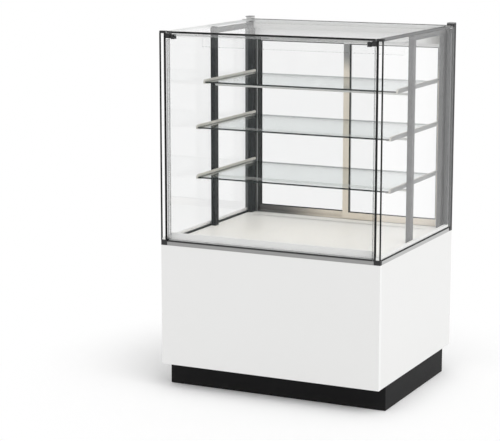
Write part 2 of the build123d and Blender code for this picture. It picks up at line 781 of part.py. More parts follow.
# Air grilles: return behind the lip, outlet along the back
frame_x = trim_x - frame_width
deck_x = frame_x - 2
return_y = (lip_y + lip_depth + fit_gap, well_inner_front + 26)
outlet_y = (well_inner_back - 48, rear_y - fit_gap)
grille_slot = 5
grille_pitch = 12
return_slot = 24
outlet_slot = 34
with BuildPart() as air_grilles:
    folded_pan((-deck_x, deck_x), return_y)
    folded_pan((-deck_x, deck_x), outlet_y)
    grille_count = int((2 * deck_x - 40) / grille_pitch)
    with BuildSketch(Plane.XY.offset(deck_z)):
        with Locations((0, return_y[1] - return_slot / 2 - 6)):
            with GridLocations(grille_pitch, 0, grille_count, 1):
                Rectangle(grille_slot, return_slot)
        with Locations((0, outlet_y[0] + outlet_slot / 2 + 6)):
            with GridLocations(grille_pitch, 0, grille_count, 1):
                Rectangle(grille_slot, outlet_slot)
    extrude(amount=-sheet, mode=Mode.SUBTRACT)
save(air_grilles, "air_grilles")

# Deck: three lift-out pans and a strip down each side under the frames
deck_y = (return_y[1] + fit_gap, outlet_y[0] - fit_gap)
pan_width = (2 * deck_x - 2 * fit_gap) / 3
with BuildPart() as deck_pans:
    for i in range(3):
        x0 = -deck_x + i * (pan_width + fit_gap)
        folded_pan((x0, x0 + pan_width), deck_y)
    fillet(deck_pans.faces().group_by(Axis.Z)[-1].edges(), 1)
    for side in both_sides(deck_x + fit_gap, trim_x - fit_gap):
        block(side, (return_y[0], rear_y - fit_gap), (body_top, deck_z))
save(deck_pans, "deck_pans")

# Side glass: two panes a side, with an air gap between them
glass_base = deck_z + seat_seal
glass_top = cap_top - 9
outer_x = (half - outer_pane, half)
inner_x = (glass_x, glass_x + inner_pane)
gap_x = (glass_x + inner_pane, half - outer_pane)
pane_front = front + edge_strip
post_cover = 20
outer_run = (pane_front, back - post_cover - fit_gap)
inner_run = (pane_front, rear_y - fit_gap)
glass_z = (glass_base, glass_top)
spacer = 10
with BuildPart() as side_glass:
    for side in both_sides(*outer_x):
        block(side, outer_run, glass_z)
    for side in both_sides(*inner_x):
        block(side, inner_run, glass_z)
save(side_glass, "side_glass")

# Spacer bars between those panes: bottom, top and rear, clear of the front
spacer_x = (gap_x[0] + fit_gap, gap_x[1] - fit_gap)
with BuildPart() as side_glass_spacers:
    for side in both_sides(*spacer_x):
        block(side, inner_run, (glass_base, glass_base + spacer))
        block(side, inner_run, (glass_top - spacer, glass_top))
        block(
            side, (inner_run[1] - spacer, inner_run[1]),
            (glass_base + spacer + fit_gap, glass_top - spacer - fit_gap),
        )
save(side_glass_spacers, "side_glass_spacers")

# Black seals: under each pane, up each front edge, and along the top glass
front_glass_x = trim_x - front_side_gap + 1
top_seal_height = 6
with BuildPart() as glass_seals:
    for side in both_sides(*outer_x) + both_sides(*inner_x):
        block(side, (front + cap_depth + fit_gap, rear_y - 2 * fit_gap), (deck_z, glass_base))
        block(side, (front, pane_front - 0.01), glass_z)
    block(
        (-front_glass_x, front_glass_x), (front, front + outer_pane - fit_gap),
        (cap_top - 0.5 - top_seal_height, cap_top - 0.5),
    )
save(glass_seals, "glass_seals")

# Black corner caps: front bottom, front top, and on the rear posts
rear_cap = 3
with BuildPart() as corner_caps:
    for side in both_sides(trim_x, half):
        block(side, (front, front + cap_depth), (body_top, glass_base))
        block(side, (front, front + cap_depth), (glass_top, cap_top))
        block(side, (rear_y, back), (post_top - rear_cap, post_top))
    fillet(corner_caps.edges().filter_by(Axis.Z), 1)
save(corner_caps, "corner_caps")

# Thin aluminium trim along the top of each outer pane
top_trim_width = 6
top_trim_height = 6
with BuildPart() as side_top_trims:
    with BuildSketch(Plane.XZ.offset(-front - cap_depth - fit_gap)):
        for side in both_sides(half - top_trim_width, half):
            with Locations(((side[0] + side[1]) / 2, glass_top + top_trim_height / 2)):
                RectangleRounded(top_trim_width, top_trim_height, 1)
    extrude(amount=-(rear_y - front - cap_depth - 2 * fit_gap))
save(side_top_trims, "side_top_trims")

# Top glass, laid on the frames and the rear header
top_glass_thick = 8
with BuildPart() as top_glass:
    block(
        (-trim_x, trim_x), (front + outer_pane, rear_y - fit_gap), (glass_top, glass_top + top_glass_thick)
    )
    chamfer(top_glass.faces().sort_by(Axis.Z)[-1].edges(), 0.8)
save(top_glass, "top_glass")

# Rear corner posts with a flange that covers the pane's rear edge
with BuildPart() as rear_posts:
    for sign in (-1, 1):
        with BuildSketch(Plane.XY.offset(body_top)):
            with BuildLine():
                Polyline(
                    (sign * trim_x, rear_y), (sign * (gap_x[1] - fit_gap), rear_y),
                    (sign * (gap_x[1] - fit_gap), back - post_cover), (sign * half, back - post_cover),
                    (sign * half, back), (sign * trim_x, back), close=True,
                )
            make_face()
        extrude(amount=post_top - rear_cap - body_top)
save(rear_posts, "rear_posts")

# Planes of the two door tracks
lip_front = 6
web = 3
inner_door = (rear_y + lip_front + slide_gap, rear_y + lip_front + slide_gap + door_thick)
web_y = (inner_door[1] + slide_gap, inner_door[1] + slide_gap + web)
outer_door = (web_y[1] + slide_gap, web_y[1] + slide_gap + door_thick)
rear_lip = (outer_door[1] + slide_gap, back)
door_base = deck_z + slide_gap
door_opening = 728
header_lip = deck_z + door_opening
channel_top = header_lip + 16
door_top = channel_top - 4
jamb_x = trim_x - 27

# Jambs: channels that take the doors' outer stiles
jamb_web = 3.5
jamb_flange = 14
with BuildPart() as door_jambs:
    for sign in (-1, 1):
        outside = sign * (trim_x - fit_gap)
        inside = outside - sign * jamb_web
        flange = sign * (trim_x - jamb_flange)
        with BuildSketch(Plane.XY.offset(deck_z)):
            with BuildLine():
                Polyline(
                    (outside, rear_y), (sign * jamb_x, rear_y), (sign * jamb_x, rear_y + lip_front),
                    (inside, rear_y + lip_front), (inside, web_y[0]), (flange, web_y[0]),
                    (flange, web_y[1]), (inside, web_y[1]), (inside, rear_lip[0]), (flange, rear_lip[0]),
                    (flange, back), (outside, back), close=True,
                )
            make_face()
        extrude(amount=header_lip - fit_gap - deck_z)
save(door_jambs, "door_jambs")

# Rear header: hollow section with two door channels below and a glass ledge in front
header_top = glass_top + top_glass_thick
header_wall = 3
ledge = 10
ledge_z = glass_top - 28
with BuildPart() as rear_header:
    with BuildSketch(Plane.YZ.offset(fit_gap - trim_x)):
        with BuildLine():
            Polyline(
                (rear_y, header_lip), (rear_y + lip_front, header_lip), (rear_y + lip_front, channel_top),
                (web_y[0], channel_top), (web_y[0], header_lip), (web_y[1], header_lip),
                (web_y[1], channel_top), (rear_lip[0], channel_top), (rear_lip[0], header_lip),
                (back, header_lip), (back, header_top), (rear_y, header_top), close=True,
            )
        make_face()
        with Locations(((rear_y + back) / 2, (channel_top + header_top) / 2)):
            Rectangle(
                rear_structure - 2 * header_wall, header_top - channel_top - 2 * header_wall,
                mode=Mode.SUBTRACT,
            )
    extrude(amount=2 * (trim_x - fit_gap))
    block((fit_gap - frame_x, frame_x - fit_gap), (rear_y - ledge, rear_y), (ledge_z, glass_top))
save(rear_header, "rear_header")

# Lower door track with two guide ribs
rib = 2.5
rib_height = 7
inner_centre = (inner_door[0] + inner_door[1]) / 2
outer_centre = (outer_door[0] + outer_door[1]) / 2
with BuildPart() as lower_track:
    block((fit_gap - trim_x, trim_x - fit_gap), (rear_y, back), (body_top, deck_z))
    for y in (inner_centre, outer_centre):
        rib_x = trim_x - jamb_web - 2 * fit_gap
        block((-rib_x, rib_x), (y - rib / 2, y + rib / 2), (deck_z, deck_z + rib_height))
save(lower_track, "lower_track")

# Sliding doors: two stiles, which ride on the guide rib, and two rails, all grooved for the glass
door_reach = trim_x - jamb_flange + 6
glazing = 6
pull_length = 140
pull_width = 8.5
pull_depth = 6
pull_z = deck_z + 380
doors = [
    ("left_door", (-door_reach, door_overlap / 2), outer_door),
    ("right_door", (-door_overlap / 2, door_reach), inner_door),
]
for label, span, y in doors:
    middle = (y[0] + y[1]) / 2
    left_stile = (span[0], span[0] + door_stile)
    right_stile = (span[1] - door_stile, span[1])
    rail_x = (left_stile[1] + fit_gap, right_stile[0] - fit_gap)
    pane_x = (left_stile[1] - glazing, right_stile[0] + glazing)
    pane_z = (door_base + door_rail - glazing, door_top - door_rail + glazing)
    slot_y = (middle - door_glass / 2 - fit_gap, middle + door_glass / 2 + fit_gap)
    if label == "left_door":
        pull_x = (span[0] + 9, span[0] + 9 + pull_width)
    else:
        pull_x = (span[1] - 9 - pull_width, span[1] - 9)
    with BuildPart() as door_frame:
        for stile in (left_stile, right_stile):
            block(stile, y, (door_base, door_top))
        block(rail_x, y, (door_base, door_base + door_rail))
        block(rail_x, y, (door_top - door_rail, door_top))
        block(
            (pane_x[0] - fit_gap, pane_x[1] + fit_gap), slot_y, (pane_z[0] - fit_gap, pane_z[1] + fit_gap),
            Mode.SUBTRACT,
        )
        groove_y = (middle - rib / 2 - slide_gap, middle + rib / 2 + slide_gap)
        block(rail_x, groove_y, (door_base, door_base + rib_height + slide_gap), Mode.SUBTRACT)
        block(span, groove_y, (door_base, deck_z + rib_height), Mode.SUBTRACT)
        block(pull_x, (y[1] - pull_depth, y[1]), (pull_z, pull_z + pull_length), Mode.SUBTRACT)
    save(door_frame, label + "_frame")
    with BuildPart() as door_pane:
        block(pane_x, (middle - door_glass / 2, middle + door_glass / 2), pane_z)
    save(door_pane, label + "_glass")

# Front glass: two panes, notched at the top corners for the hinges
front_unit = 2 * front_pane + front_air_gap
bottom_seal = 5.4
front_seal_gap = 0.6
front_glass_base = deck_z + front_seal_gap + bottom_seal
front_glass_top = glass_top - 3
hinge_y = front + 5
hinge_z = front_glass_top - 5
notch_width = 30
notch_depth = 18
notch_x = front_glass_x - notch_width
clamp_x = (notch_x + fit_gap, notch_x + 12)
bracket_x = (clamp_x[1] + 6, trim_x)
front_pane_y = [(front, front + front_pane), (front + front_unit - front_pane, front + front_unit)]
with BuildPart() as front_glass:
    for y in front_pane_y:
        block((-front_glass_x, front_glass_x), y, (front_glass_base, front_glass_top))
        for side in both_sides(notch_x, front_glass_x):
            block(side, y, (front_glass_top - notch_depth, front_glass_top), Mode.SUBTRACT)
save(front_glass, "front_glass")

# Edging of the front glass: bottom seal, top bar, and slim side bars between the panes
edging_y = (front_pane_y[0][1] + fit_gap, front_pane_y[1][0] - fit_gap)
side_bar = 5
with BuildPart() as front_glass_edging:
    block(
        (-front_glass_x, front_glass_x), (front, front + front_unit),
        (front_glass_base - bottom_seal, front_glass_base),
    )
    block((-notch_x, notch_x), edging_y, (front_glass_top - 6, front_glass_top))
    for side in both_sides(front_glass_x - side_bar, front_glass_x):
        block(side, edging_y, (front_glass_base + fit_gap, front_glass_top - notch_depth))
save(front_glass_edging, "front_glass_edging")

# Hinge clamps on the glass, bored for the pins
pin_radius = 2.5
clamp_depth = notch_depth - fit_gap
clamp_round = 4.5
with BuildPart() as hinge_clamps:
    for side in both_sides(*clamp_x):
        with BuildSketch(Plane.YZ.offset(side[0])):
            with Locations((front + front_unit / 2, front_glass_top - clamp_depth / 2)):
                RectangleRounded(front_unit, clamp_depth, clamp_round)
            with Locations((hinge_y, hinge_z)):
                Circle(pin_radius + shaft_clearance, mode=Mode.SUBTRACT)
        extrude(amount=side[1] - side[0])
save(hinge_clamps, "hinge_clamps")

# Fixed hinge brackets under the top glass, with their pins
bracket_base = front_glass_top - notch_depth + 2
bracket_back = front + front_unit - 2
with BuildPart() as hinge_brackets:
    for side in both_sides(*bracket_x):
        with BuildSketch(Plane.YZ.offset(side[0])):
            with BuildLine():
                Polyline(
                    (bracket_back, bracket_base), (bracket_back, glass_top), (front + 4.2, glass_top),
                    (front + 4.2, glass_top - 1), (front, glass_top - 1), (front, bracket_base + 8),
                )
                ThreePointArc(
                    (front, bracket_base + 8), (front + 2.6, bracket_base + 2.4), (front + 9, bracket_base)
                )
                Line((front + 9, bracket_base), (bracket_back, bracket_base))
            make_face()
        extrude(amount=side[1] - side[0])
    for side in both_sides(clamp_x[0] + 2, bracket_x[0] + 2):
        with BuildSketch(Plane.YZ.offset(side[0])):
            with Locations((hinge_y, hinge_z)):
                Circle(pin_radius)
        extrude(amount=side[1] - side[0])
save(hinge_brackets, "hinge_brackets")

# Inner side frames: slotted uprights under a top rail, with pads for the top glass
upright_front = (front + front_upright_setback, front + front_upright_setback + frame_depth)
upright_back = (rear_y - 1 - frame_depth, rear_y - 1)
rail_top = glass_top - 5
rail_z = (rail_top - frame_rail, rail_top)
upright_z = (deck_z, rail_z[0] - fit_gap)
slot_height = 12
frame_slot_pitch = 26
slot_depth = 4
slot_setback = 6
slot_count = int((upright_z[1] - upright_z[0] - 60) / frame_slot_pitch)
pad = 24
with BuildPart() as side_frames:
    for side in both_sides(frame_x, trim_x):
        for y in (upright_front, upright_back):
            block(side, y, upright_z)
            block((side[0] + 1, side[1] - 1), (y[0] + 2, y[0] + 2 + pad), (rail_top, glass_top))
        block(side, (upright_front[0], upright_back[1]), rail_z)
    for sign in (-1, 1):
        with BuildSketch(Plane.YZ.offset(sign * frame_x)):
            for y in (upright_front, upright_back):
                with Locations(((y[0] + y[1]) / 2 + slot_setback, (upright_z[0] + upright_z[1]) / 2)):
                    with GridLocations(0, frame_slot_pitch, 1, slot_count):
                        Rectangle(4, slot_height)
        extrude(amount=sign * slot_depth, mode=Mode.SUBTRACT)
save(side_frames, "side_frames")

# Shelf glasses, their side brackets, and a light bar between the front uprights
bracket_end = upright_back[0] - 16
shelf_end = bracket_end - 12
bracket_face = frame_x - fit_gap
bracket_inner = bracket_face - bracket_width
nose = 12
tab_height = 9
light_bar_drop = 12
light_bar_height = 8
light_bar_y = (upright_front[0] + 2, upright_front[0] + 22)
shelves = [
    ("lower_shelf", lower_shelf_height, lower_shelf_setback),
    ("middle_shelf", middle_shelf_height, middle_shelf_setback),
    ("upper_shelf", upper_shelf_height, upper_shelf_setback),
]
for label, height, setback in shelves:
    shelf_base = deck_z + height - shelf_glass
    with BuildPart() as shelf:
        block(
            (fit_gap - bracket_inner, bracket_inner - fit_gap), (front + setback, shelf_end),
            (shelf_base, shelf_base + shelf_glass),
        )
        chamfer(shelf.edges().filter_by(Axis.X), 0.8)
    save(shelf, label)
with BuildPart() as shelf_brackets:
    flanges = both_sides(bracket_inner - bracket_lip, bracket_inner)
    for label, height, setback in shelves:
        shelf_base = deck_z + height - shelf_glass
        bracket_z = (shelf_base - bracket_sheet, shelf_base - bracket_sheet + bracket_height)
        for side, flange in zip(both_sides(bracket_inner, bracket_face), flanges):
            with BuildSketch(Plane.YZ.offset(side[0])):
                with BuildLine():
                    Polyline(
                        (front + setback + nose, bracket_z[1]), (bracket_end, bracket_z[1]),
                        (bracket_end + 34, bracket_z[1]), (bracket_end + 34, bracket_z[1] - tab_height),
                        (bracket_end, bracket_z[1] - tab_height), (bracket_end, bracket_z[0]),
                        (front + setback - 1, bracket_z[0]), (front + setback - 1, bracket_z[0] + 3),
                    )
                    RadiusArc(
                        (front + setback - 1, bracket_z[0] + 3), (front + setback + nose, bracket_z[1]),
                        nose + 2,
                    )
                make_face()
            extrude(amount=side[1] - side[0])
            block(flange, (front + setback, bracket_end), (bracket_z[0], shelf_base))
save(shelf_brackets, "shelf_brackets")
with BuildPart() as light_bars:
    for label, height, setback in shelves:
        bar_top = deck_z + height - shelf_glass - light_bar_drop
        with BuildSketch(Plane.YZ.offset(-bracket_face)):
            with BuildLine():
                Polyline(
                    (light_bar_y[0], bar_top), (light_bar_y[0], bar_top - light_bar_height * 0.5),
                    (light_bar_y[0] + 5, bar_top - light_bar_height),
                    (light_bar_y[1], bar_top - light_bar_height), (light_bar_y[1], bar_top), close=True,
                )
            make_face()
        extrude(amount=2 * bracket_face)
    with BuildSketch(Plane.YZ.offset(fit_gap - frame_x)):
        with BuildLine():
            Polyline(
                (rear_y - ledge - fit_gap, ledge_z), (rear_y - ledge - fit_gap, glass_top - 2),
                (rear_y - ledge - 8, glass_top - 2),
            )
            ThreePointArc(
                (rear_y - ledge - 8, glass_top - 2), (rear_y - ledge - 7, (ledge_z + glass_top) / 2 + 4),
                (rear_y - ledge - fit_gap, ledge_z),
            )
        make_face()
    extrude(amount=2 * (frame_x - fit_gap))
save(light_bars, "light_bars")

# Clear air deflector under the top glass, on two arms from the uprights
deflector_setback = 290
deflector_thick = 4
deflector_drop = 25
deflector_height = 48
deflector_z = (glass_top - deflector_drop - deflector_height, glass_top - deflector_drop)
deflector_x = glass_x - 6
deflector_tilt = 3
arm = 10
arm_thick = 3
deflector_y = front + deflector_setback
with BuildPart() as air_deflector:
    with BuildSketch(Plane.YZ.offset(-deflector_x)):
        with BuildLine():
            Polyline(
                (deflector_y, deflector_z[1]), (deflector_y + deflector_thick, deflector_z[1]),
                (deflector_y + deflector_thick - deflector_tilt, deflector_z[0]),
                (deflector_y - deflector_tilt, deflector_z[0]), close=True,
            )
        make_face()
    extrude(amount=2 * deflector_x)
    for side in both_sides(frame_x + 2, frame_x + 2 + arm):
        block(
            side, (deflector_y + deflector_thick + fit_gap, upright_front[0] - fit_gap),
            (deflector_z[1] - arm_thick, deflector_z[1]),
        )
save(air_deflector, "air_deflector")

# Screws in the rear panels
screw_radius = 4
screw_head = 1.6
screw_x = service_x - 16
with BuildPart() as panel_screws:
    with BuildSketch(Plane.XZ.offset(-service_face)):
        for z in (floor_z + 18, louvre_split - 16, louvre_split + 18, body_top - 16):
            with Locations((0, z)):
                with GridLocations(2 * screw_x, 0, 2, 1):
                    Circle(screw_radius)
    extrude(amount=-screw_head)
    fillet(panel_screws.faces().group_by(Axis.Y)[-1].edges(), 0.7)
save(panel_screws, "panel_screws")
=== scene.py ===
from math import pi, radians

import bmesh
import bpy
import numpy as np
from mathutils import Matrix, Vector


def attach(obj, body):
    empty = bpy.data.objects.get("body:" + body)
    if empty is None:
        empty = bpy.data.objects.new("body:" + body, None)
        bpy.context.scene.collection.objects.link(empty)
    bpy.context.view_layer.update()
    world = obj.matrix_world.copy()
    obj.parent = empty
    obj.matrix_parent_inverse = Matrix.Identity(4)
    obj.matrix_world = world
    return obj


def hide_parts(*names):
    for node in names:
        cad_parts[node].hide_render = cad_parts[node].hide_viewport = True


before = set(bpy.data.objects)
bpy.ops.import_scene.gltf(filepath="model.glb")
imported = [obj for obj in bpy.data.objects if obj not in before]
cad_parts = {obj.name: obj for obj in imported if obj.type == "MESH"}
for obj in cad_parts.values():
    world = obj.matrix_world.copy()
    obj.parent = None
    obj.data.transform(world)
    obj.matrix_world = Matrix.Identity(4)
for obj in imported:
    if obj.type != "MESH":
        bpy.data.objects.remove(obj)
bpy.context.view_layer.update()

# Camera
# The cabinet is seen from the front right, a little above its top glass, through a long lens.
# The place, the turn and the lens come from a fit to measured points of the photograph.
camera_place = (2.72181, -6.13953, 1.87827)
camera_turn = (pi / 2 - 0.1839, 0, 0.4520)
camera_lens = 125.947
sensor_width = 36
far_clip = 200
scene = bpy.context.scene
camera = bpy.data.objects.new("camera", bpy.data.cameras.new("camera"))
camera.data.sensor_width = sensor_width
camera.data.lens = camera_lens
camera.data.clip_end = far_clip
camera.location = camera_place
camera.rotation_euler = camera_turn
scene.collection.objects.link(camera)
scene.camera = camera
scene.view_settings.view_transform = "Standard"

# Studio floor and light
# A white floor that runs out of sight and fades to plain white away from the object, under an
# even sky and one broad soft lamp on the right. Seen directly or in glass, the sky is pure white.
floor_reach = 60
floor_white = 0.985
floor_fade = (0.5, 1.25)
sky_level = 0.75
lamp_level = 1.08
lamp_spread = radians(50)
lamp_side = Vector((0.61, -0.32, 0.725))


class Socket:
    """One number or colour on its way through a finish; arithmetic on it adds Math nodes."""

    def __init__(self, finish, socket):
        self.finish, self.socket = finish, socket

    def maths(self, operation, *values):
        return self.finish.node("ShaderNodeMath", {"operation": operation}, values)

    def __add__(self, other):
        return self.maths("ADD", self, other)

    def __sub__(self, other):
        return self.maths("SUBTRACT", self, other)

    def __rsub__(self, other):
        return self.maths("SUBTRACT", other, self)

    def __mul__(self, other):
        return self.maths("MULTIPLY", self, other)

    def __truediv__(self, other):
        return self.maths("DIVIDE", self, other)

    def __pow__(self, other):
        return self.maths("POWER", self, other)

    def __abs__(self):
        return self.maths("ABSOLUTE", self)

    def __lt__(self, other):
        return self.maths("LESS_THAN", self, other)

    def __gt__(self, other):
        return self.maths("GREATER_THAN", self, other)

    def __mod__(self, other):
        return self.maths("FLOORED_MODULO", self, other)

    def most(self, other):
        return self.maths("MAXIMUM", self, other)

    __radd__ = __add__
    __rmul__ = __mul__


class Finish:
    """A material, or the sky, as nodes round one shader; fixed holds its plain values."""

    def __init__(self, owner, shader, fixed=()):
        owner.use_nodes = True
        self.owner, self.tree = owner, owner.node_tree
        self.shader = self.tree.nodes[shader]
        self.set(fixed)

    def set(self, values):
        for place, value in dict(values).items():
            self.feed(self.shader.inputs[place], value)

    def feed(self, place, value):
        if isinstance(value, Socket):
            self.tree.links.new(value.socket, place)
        elif place.type == "RGBA":
            place.default_value = (*value, 1)
        else:
            place.default_value = value

    def node(self, kind, settings=(), values=(), output=0):
        """Add a node: its settings first, then the values or links of its sockets."""
        made = self.tree.nodes.new(kind)
        for key, value in dict(settings).items():
            setattr(made, key, value)
        pairs = values.items() if isinstance(values, dict) else enumerate(values)
        for place, value in pairs:
            self.feed(made.inputs[place], value)
        return Socket(self, made.outputs[output])

    def blend(self, factor, first, second):
        """Colour that goes from first to second as the factor goes from 0 to 1."""
        values = {0: factor, 6: first, 7: second}
        return self.node("ShaderNodeMix", {"data_type": "RGBA"}, values, 2)

    def place(self, stretch=(1, 1, 1)):
        """Position on the object in metres, each axis times its stretch."""
        spot = self.node("ShaderNodeTexCoord", output="Object")
        return self.node("ShaderNodeMapping", {}, {"Vector": spot, "Scale": stretch})

    def three(self, kind):
        """The three numbers of one kind of texture coordinate."""
        spot = self.node("ShaderNodeTexCoord", output=kind)
        parts = self.node("ShaderNodeSeparateXYZ", {}, [spot])
        return [Socket(self, out) for out in parts.socket.node.outputs]

    def axes(self):
        """Position on the object along X, Y and Z, in metres."""
        return self.three("Object")

    def normals(self):
        """The X, Y and Z parts of the direction that a face looks in."""
        return self.three("Normal")

    def cloud(self, size, detail=2.0, stretch=(1, 1, 1)):
        """Smooth noise from 0 to 1, with patches about size metres across."""
        values = {"Vector": self.place(stretch), "Scale": 1 / size, "Detail": detail}
        return self.node("ShaderNodeTexNoise", {}, values)

    def flakes(self, size):
        """A grey level of its own for each cell, size metres across."""
        values = {"Vector": self.place(), "Scale": 1 / size}
        colour = self.node("ShaderNodeTexVoronoi", {}, values, "Color")
        return self.node("ShaderNodeSeparateColor", {}, [colour])

    def ease(self, value, low, high):
        """0 below low, 1 above high, and a smooth rise between them."""
        return self.node(
            "ShaderNodeMapRange", {"interpolation_type": "SMOOTHSTEP"},
            {"Value": value, "From Min": low, "From Max": high},
        )

    def relief(self, height, depth):
        """Bump of depth metres where height goes from 0 to 1."""
        values = {"Height": height, "Distance": depth, "Strength": 1.0}
        return self.node("ShaderNodeBump", {}, values)


def surface(name, fixed=()):
    """A new material on the Principled shader."""
    return Finish(bpy.data.materials.new(name), "Principled BSDF", fixed)


scene.world = bpy.data.worlds.new("white_sky")
sky = Finish(scene.world, "Background", {"Color": (1, 1, 1)})
seen = sky.node("ShaderNodeLightPath", output="Is Camera Ray")
for ray in ("Is Glossy Ray", "Is Transmission Ray"):
    seen = seen.most(sky.node("ShaderNodeLightPath", output=ray))
sky.set({"Strength": sky_level + seen * (1 - sky_level)})

lamp = bpy.data.objects.new("soft_lamp", bpy.data.lights.new("soft_lamp", "SUN"))
lamp.data.energy = lamp_level
lamp.data.angle = lamp_spread
lamp.rotation_euler = lamp_side.to_track_quat("Z", "Y").to_euler()
scene.collection.objects.link(lamp)

floor_mesh = bpy.data.meshes.new("studio_floor")
corners = np.array([(-1, -1, 0), (1, -1, 0), (1, 1, 0), (-1, 1, 0)]) * floor_reach
floor_mesh.from_pydata(corners.tolist(), [], [(0, 1, 2, 3)])
floor = bpy.data.objects.new("studio_floor", floor_mesh)
scene.collection.objects.link(floor)
floor_paint = surface("floor_white", {"Roughness": 1.0, "Specular IOR Level": 0.0})
floor_paint.set({"Base Color": (floor_white,) * 3})
x, y, _ = floor_paint.axes()
away = floor_paint.ease((x * x + y * y) ** 0.5, *floor_fade)
glow = floor_paint.node("ShaderNodeEmission", {}, {"Color": (1, 1, 1), "Strength": 1.0})
join = floor_paint.node(
    "ShaderNodeMixShader", {}, [away, Socket(floor_paint, floor_paint.shader.outputs[0]), glow]
)
floor_paint.tree.links.new(join.socket, floor_paint.tree.nodes["Material Output"].inputs[0])
floor_mesh.materials.append(floor_paint.owner)

# Levelling feet, base plate and chassis
# Galvanised steel: turned feet on threaded studs, a punched base plate, and a frame welded from
# square tube. The zinc has frosted flakes a few millimetres across, some paler than others.
zinc_pale = (0.60, 0.61, 0.62)
zinc_dark = (0.42, 0.43, 0.45)
flake_size, flake_share = 0.007, 0.6


def dress(finish, *names):
    """Put a finish on nodes of the solid model."""
    for name in names:
        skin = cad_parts[name].data.materials
        skin.clear()
        skin.append(finish.owner)


zinc = surface("galvanised_zinc", {"Metallic": 1.0})
spangle = zinc.flakes(flake_size) * flake_share + zinc.cloud(0.05) * (1 - flake_share)
zinc.set({
    "Base Color": zinc.blend(spangle, zinc_dark, zinc_pale),
    "Roughness": 0.34 + spangle * 0.22,
    "Normal": zinc.relief(zinc.cloud(0.002), 0.00005),
})
dress(zinc, "levelling_feet", "base_plate", "chassis_frame")

# Plinth
# Four boards faced with matt black laminate, set back under the cabinet and clear of the floor
# by a few millimetres. Dust greys the bottom edge a little.
plinth_black = (0.0042, 0.0042, 0.0046)
plinth_dust = (0.011, 0.0105, 0.010)
dust_height, dust_waver = 0.03, 0.012
plinth = surface("black_laminate", {"Specular IOR Level": 0.16})
dust_line = dust_height - plinth.axes()[2] + plinth.cloud(0.03, 4) * dust_waver
scuff = plinth.ease(dust_line, 0, dust_height) * plinth.cloud(0.012, 3)
plinth.set({
    "Base Color": plinth.blend(scuff, plinth_black, plinth_dust),
    "Roughness": 0.5 + plinth.cloud(0.004, 3) * 0.2,
    "Normal": plinth.relief(plinth.cloud(0.0009, 1), 0.00004),
})
dress(plinth, "plinth_panels")

# White panels
# Laminated boards: a full-width front panel and one panel on each side. The laminate has a fine
# pearl texture, and the cut sides of the front board are a little whiter than its faces.
laminate_white = (0.815, 0.815, 0.81)
laminate_warm = (0.79, 0.788, 0.775)
cut_side_white = (0.86, 0.86, 0.855)
front_board_back = -0.3655
laminate = surface("white_laminate", {"Specular IOR Level": 0.4})
sideways = abs(laminate.normals()[0]) > 0.9
# Faces of the front board that look sideways are a little whiter.
cut_edge = sideways * (laminate.axes()[1] < front_board_back)
body_face = laminate.blend(laminate.cloud(0.35, 3) * 0.5, laminate_white, laminate_warm)
laminate.set({
    "Base Color": laminate.blend(cut_edge, body_face, cut_side_white),
    "Roughness": 0.42 + laminate.cloud(0.002, 2) * 0.16,
    "Normal": laminate.relief(laminate.cloud(0.0012, 2), 0.00005),
})
dress(laminate, "front_panel", "side_panels")

# Rear service panels
# Folded sheet steel trays in light grey powder coat, the lower one with rows of pressed louvres.
# The coat has an orange-peel texture and a little dust, and painted shade darkens it under each
# louvre.
service_grey = (0.47, 0.48, 0.485)
service_dust = (0.36, 0.355, 0.34)
louvre_painted_shade = (0.12, 0.12, 0.122)
grime_share = 0.2
service = surface("grey_powder_coat", {"Specular IOR Level": 0.45})
grime = service.ease(service.cloud(0.05, 5, (1, 1, 0.35)), 0.52, 0.8) * grime_share
# Faces that look down, under the louvres, get painted shade.
painted_shade_under = service.ease(service.normals()[2] * -1, 0.12, 0.5)
dusty = service.blend(grime, service_grey, service_dust)
service.set({
    "Base Color": service.blend(painted_shade_under, dusty, louvre_painted_shade),
    "Roughness": 0.48 + service.cloud(0.006, 2) * 0.14,
    "Normal": service.relief(service.cloud(0.0022, 2), 0.00009),
})
dress(service, "rear_louvred_panel", "control_fascia")

# Controller housing, light switch, cable gland and fans
# Moulded black plastic with a spark-eroded grain. The bezel and the gland have soft edges, and
# the fans are moulded in one with their hubs.
plastic_black = (0.012, 0.012, 0.013)
plastic_worn = (0.022, 0.022, 0.023)
moulding = surface("black_moulding", {"Specular IOR Level": 0.4})
grain = moulding.cloud(0.0008, 1)
moulding.set({
    "Base Color": moulding.blend(moulding.cloud(0.02, 3), plastic_black, plastic_worn),
    "Roughness": 0.4 + grain * 0.25,
    "Normal": moulding.relief(grain, 0.00006),
})
dress(moulding, "control_housing", "light_switch", "cable_gland")
dress(moulding, "condenser_fan", "left_evaporator_fan", "right_evaporator_fan")

# Display window and its digits
# A smoked acrylic window, pressed into the bezel of the controller and flush with it. Two digits
# of seven red diode segments each glow through it.
window_black, window_brown = (0.006, 0.004, 0.005), (0.010, 0.007, 0.008)
digit_red, digit_orange = (0.9, 0.06, 0.03), (1.0, 0.12, 0.05)
digit_height, digit_width, segment = 0.0095, 0.0052, 0.0011
digit_slope = 0.12
digit_offset = 0.0048
digit_sunk, digit_proud = 0.0002, 0.00008
window_face = 0.3844
window_middle = (0.213, 0.48716)
smoked = surface("smoked_acrylic", {"Coat Weight": 0.6})
smoked.set({
    "Base Color": smoked.blend(smoked.cloud(0.01), window_black, window_brown),
    "Roughness": 0.06 + smoked.cloud(0.004) * 0.04,
})
dress(smoked, "display_window")


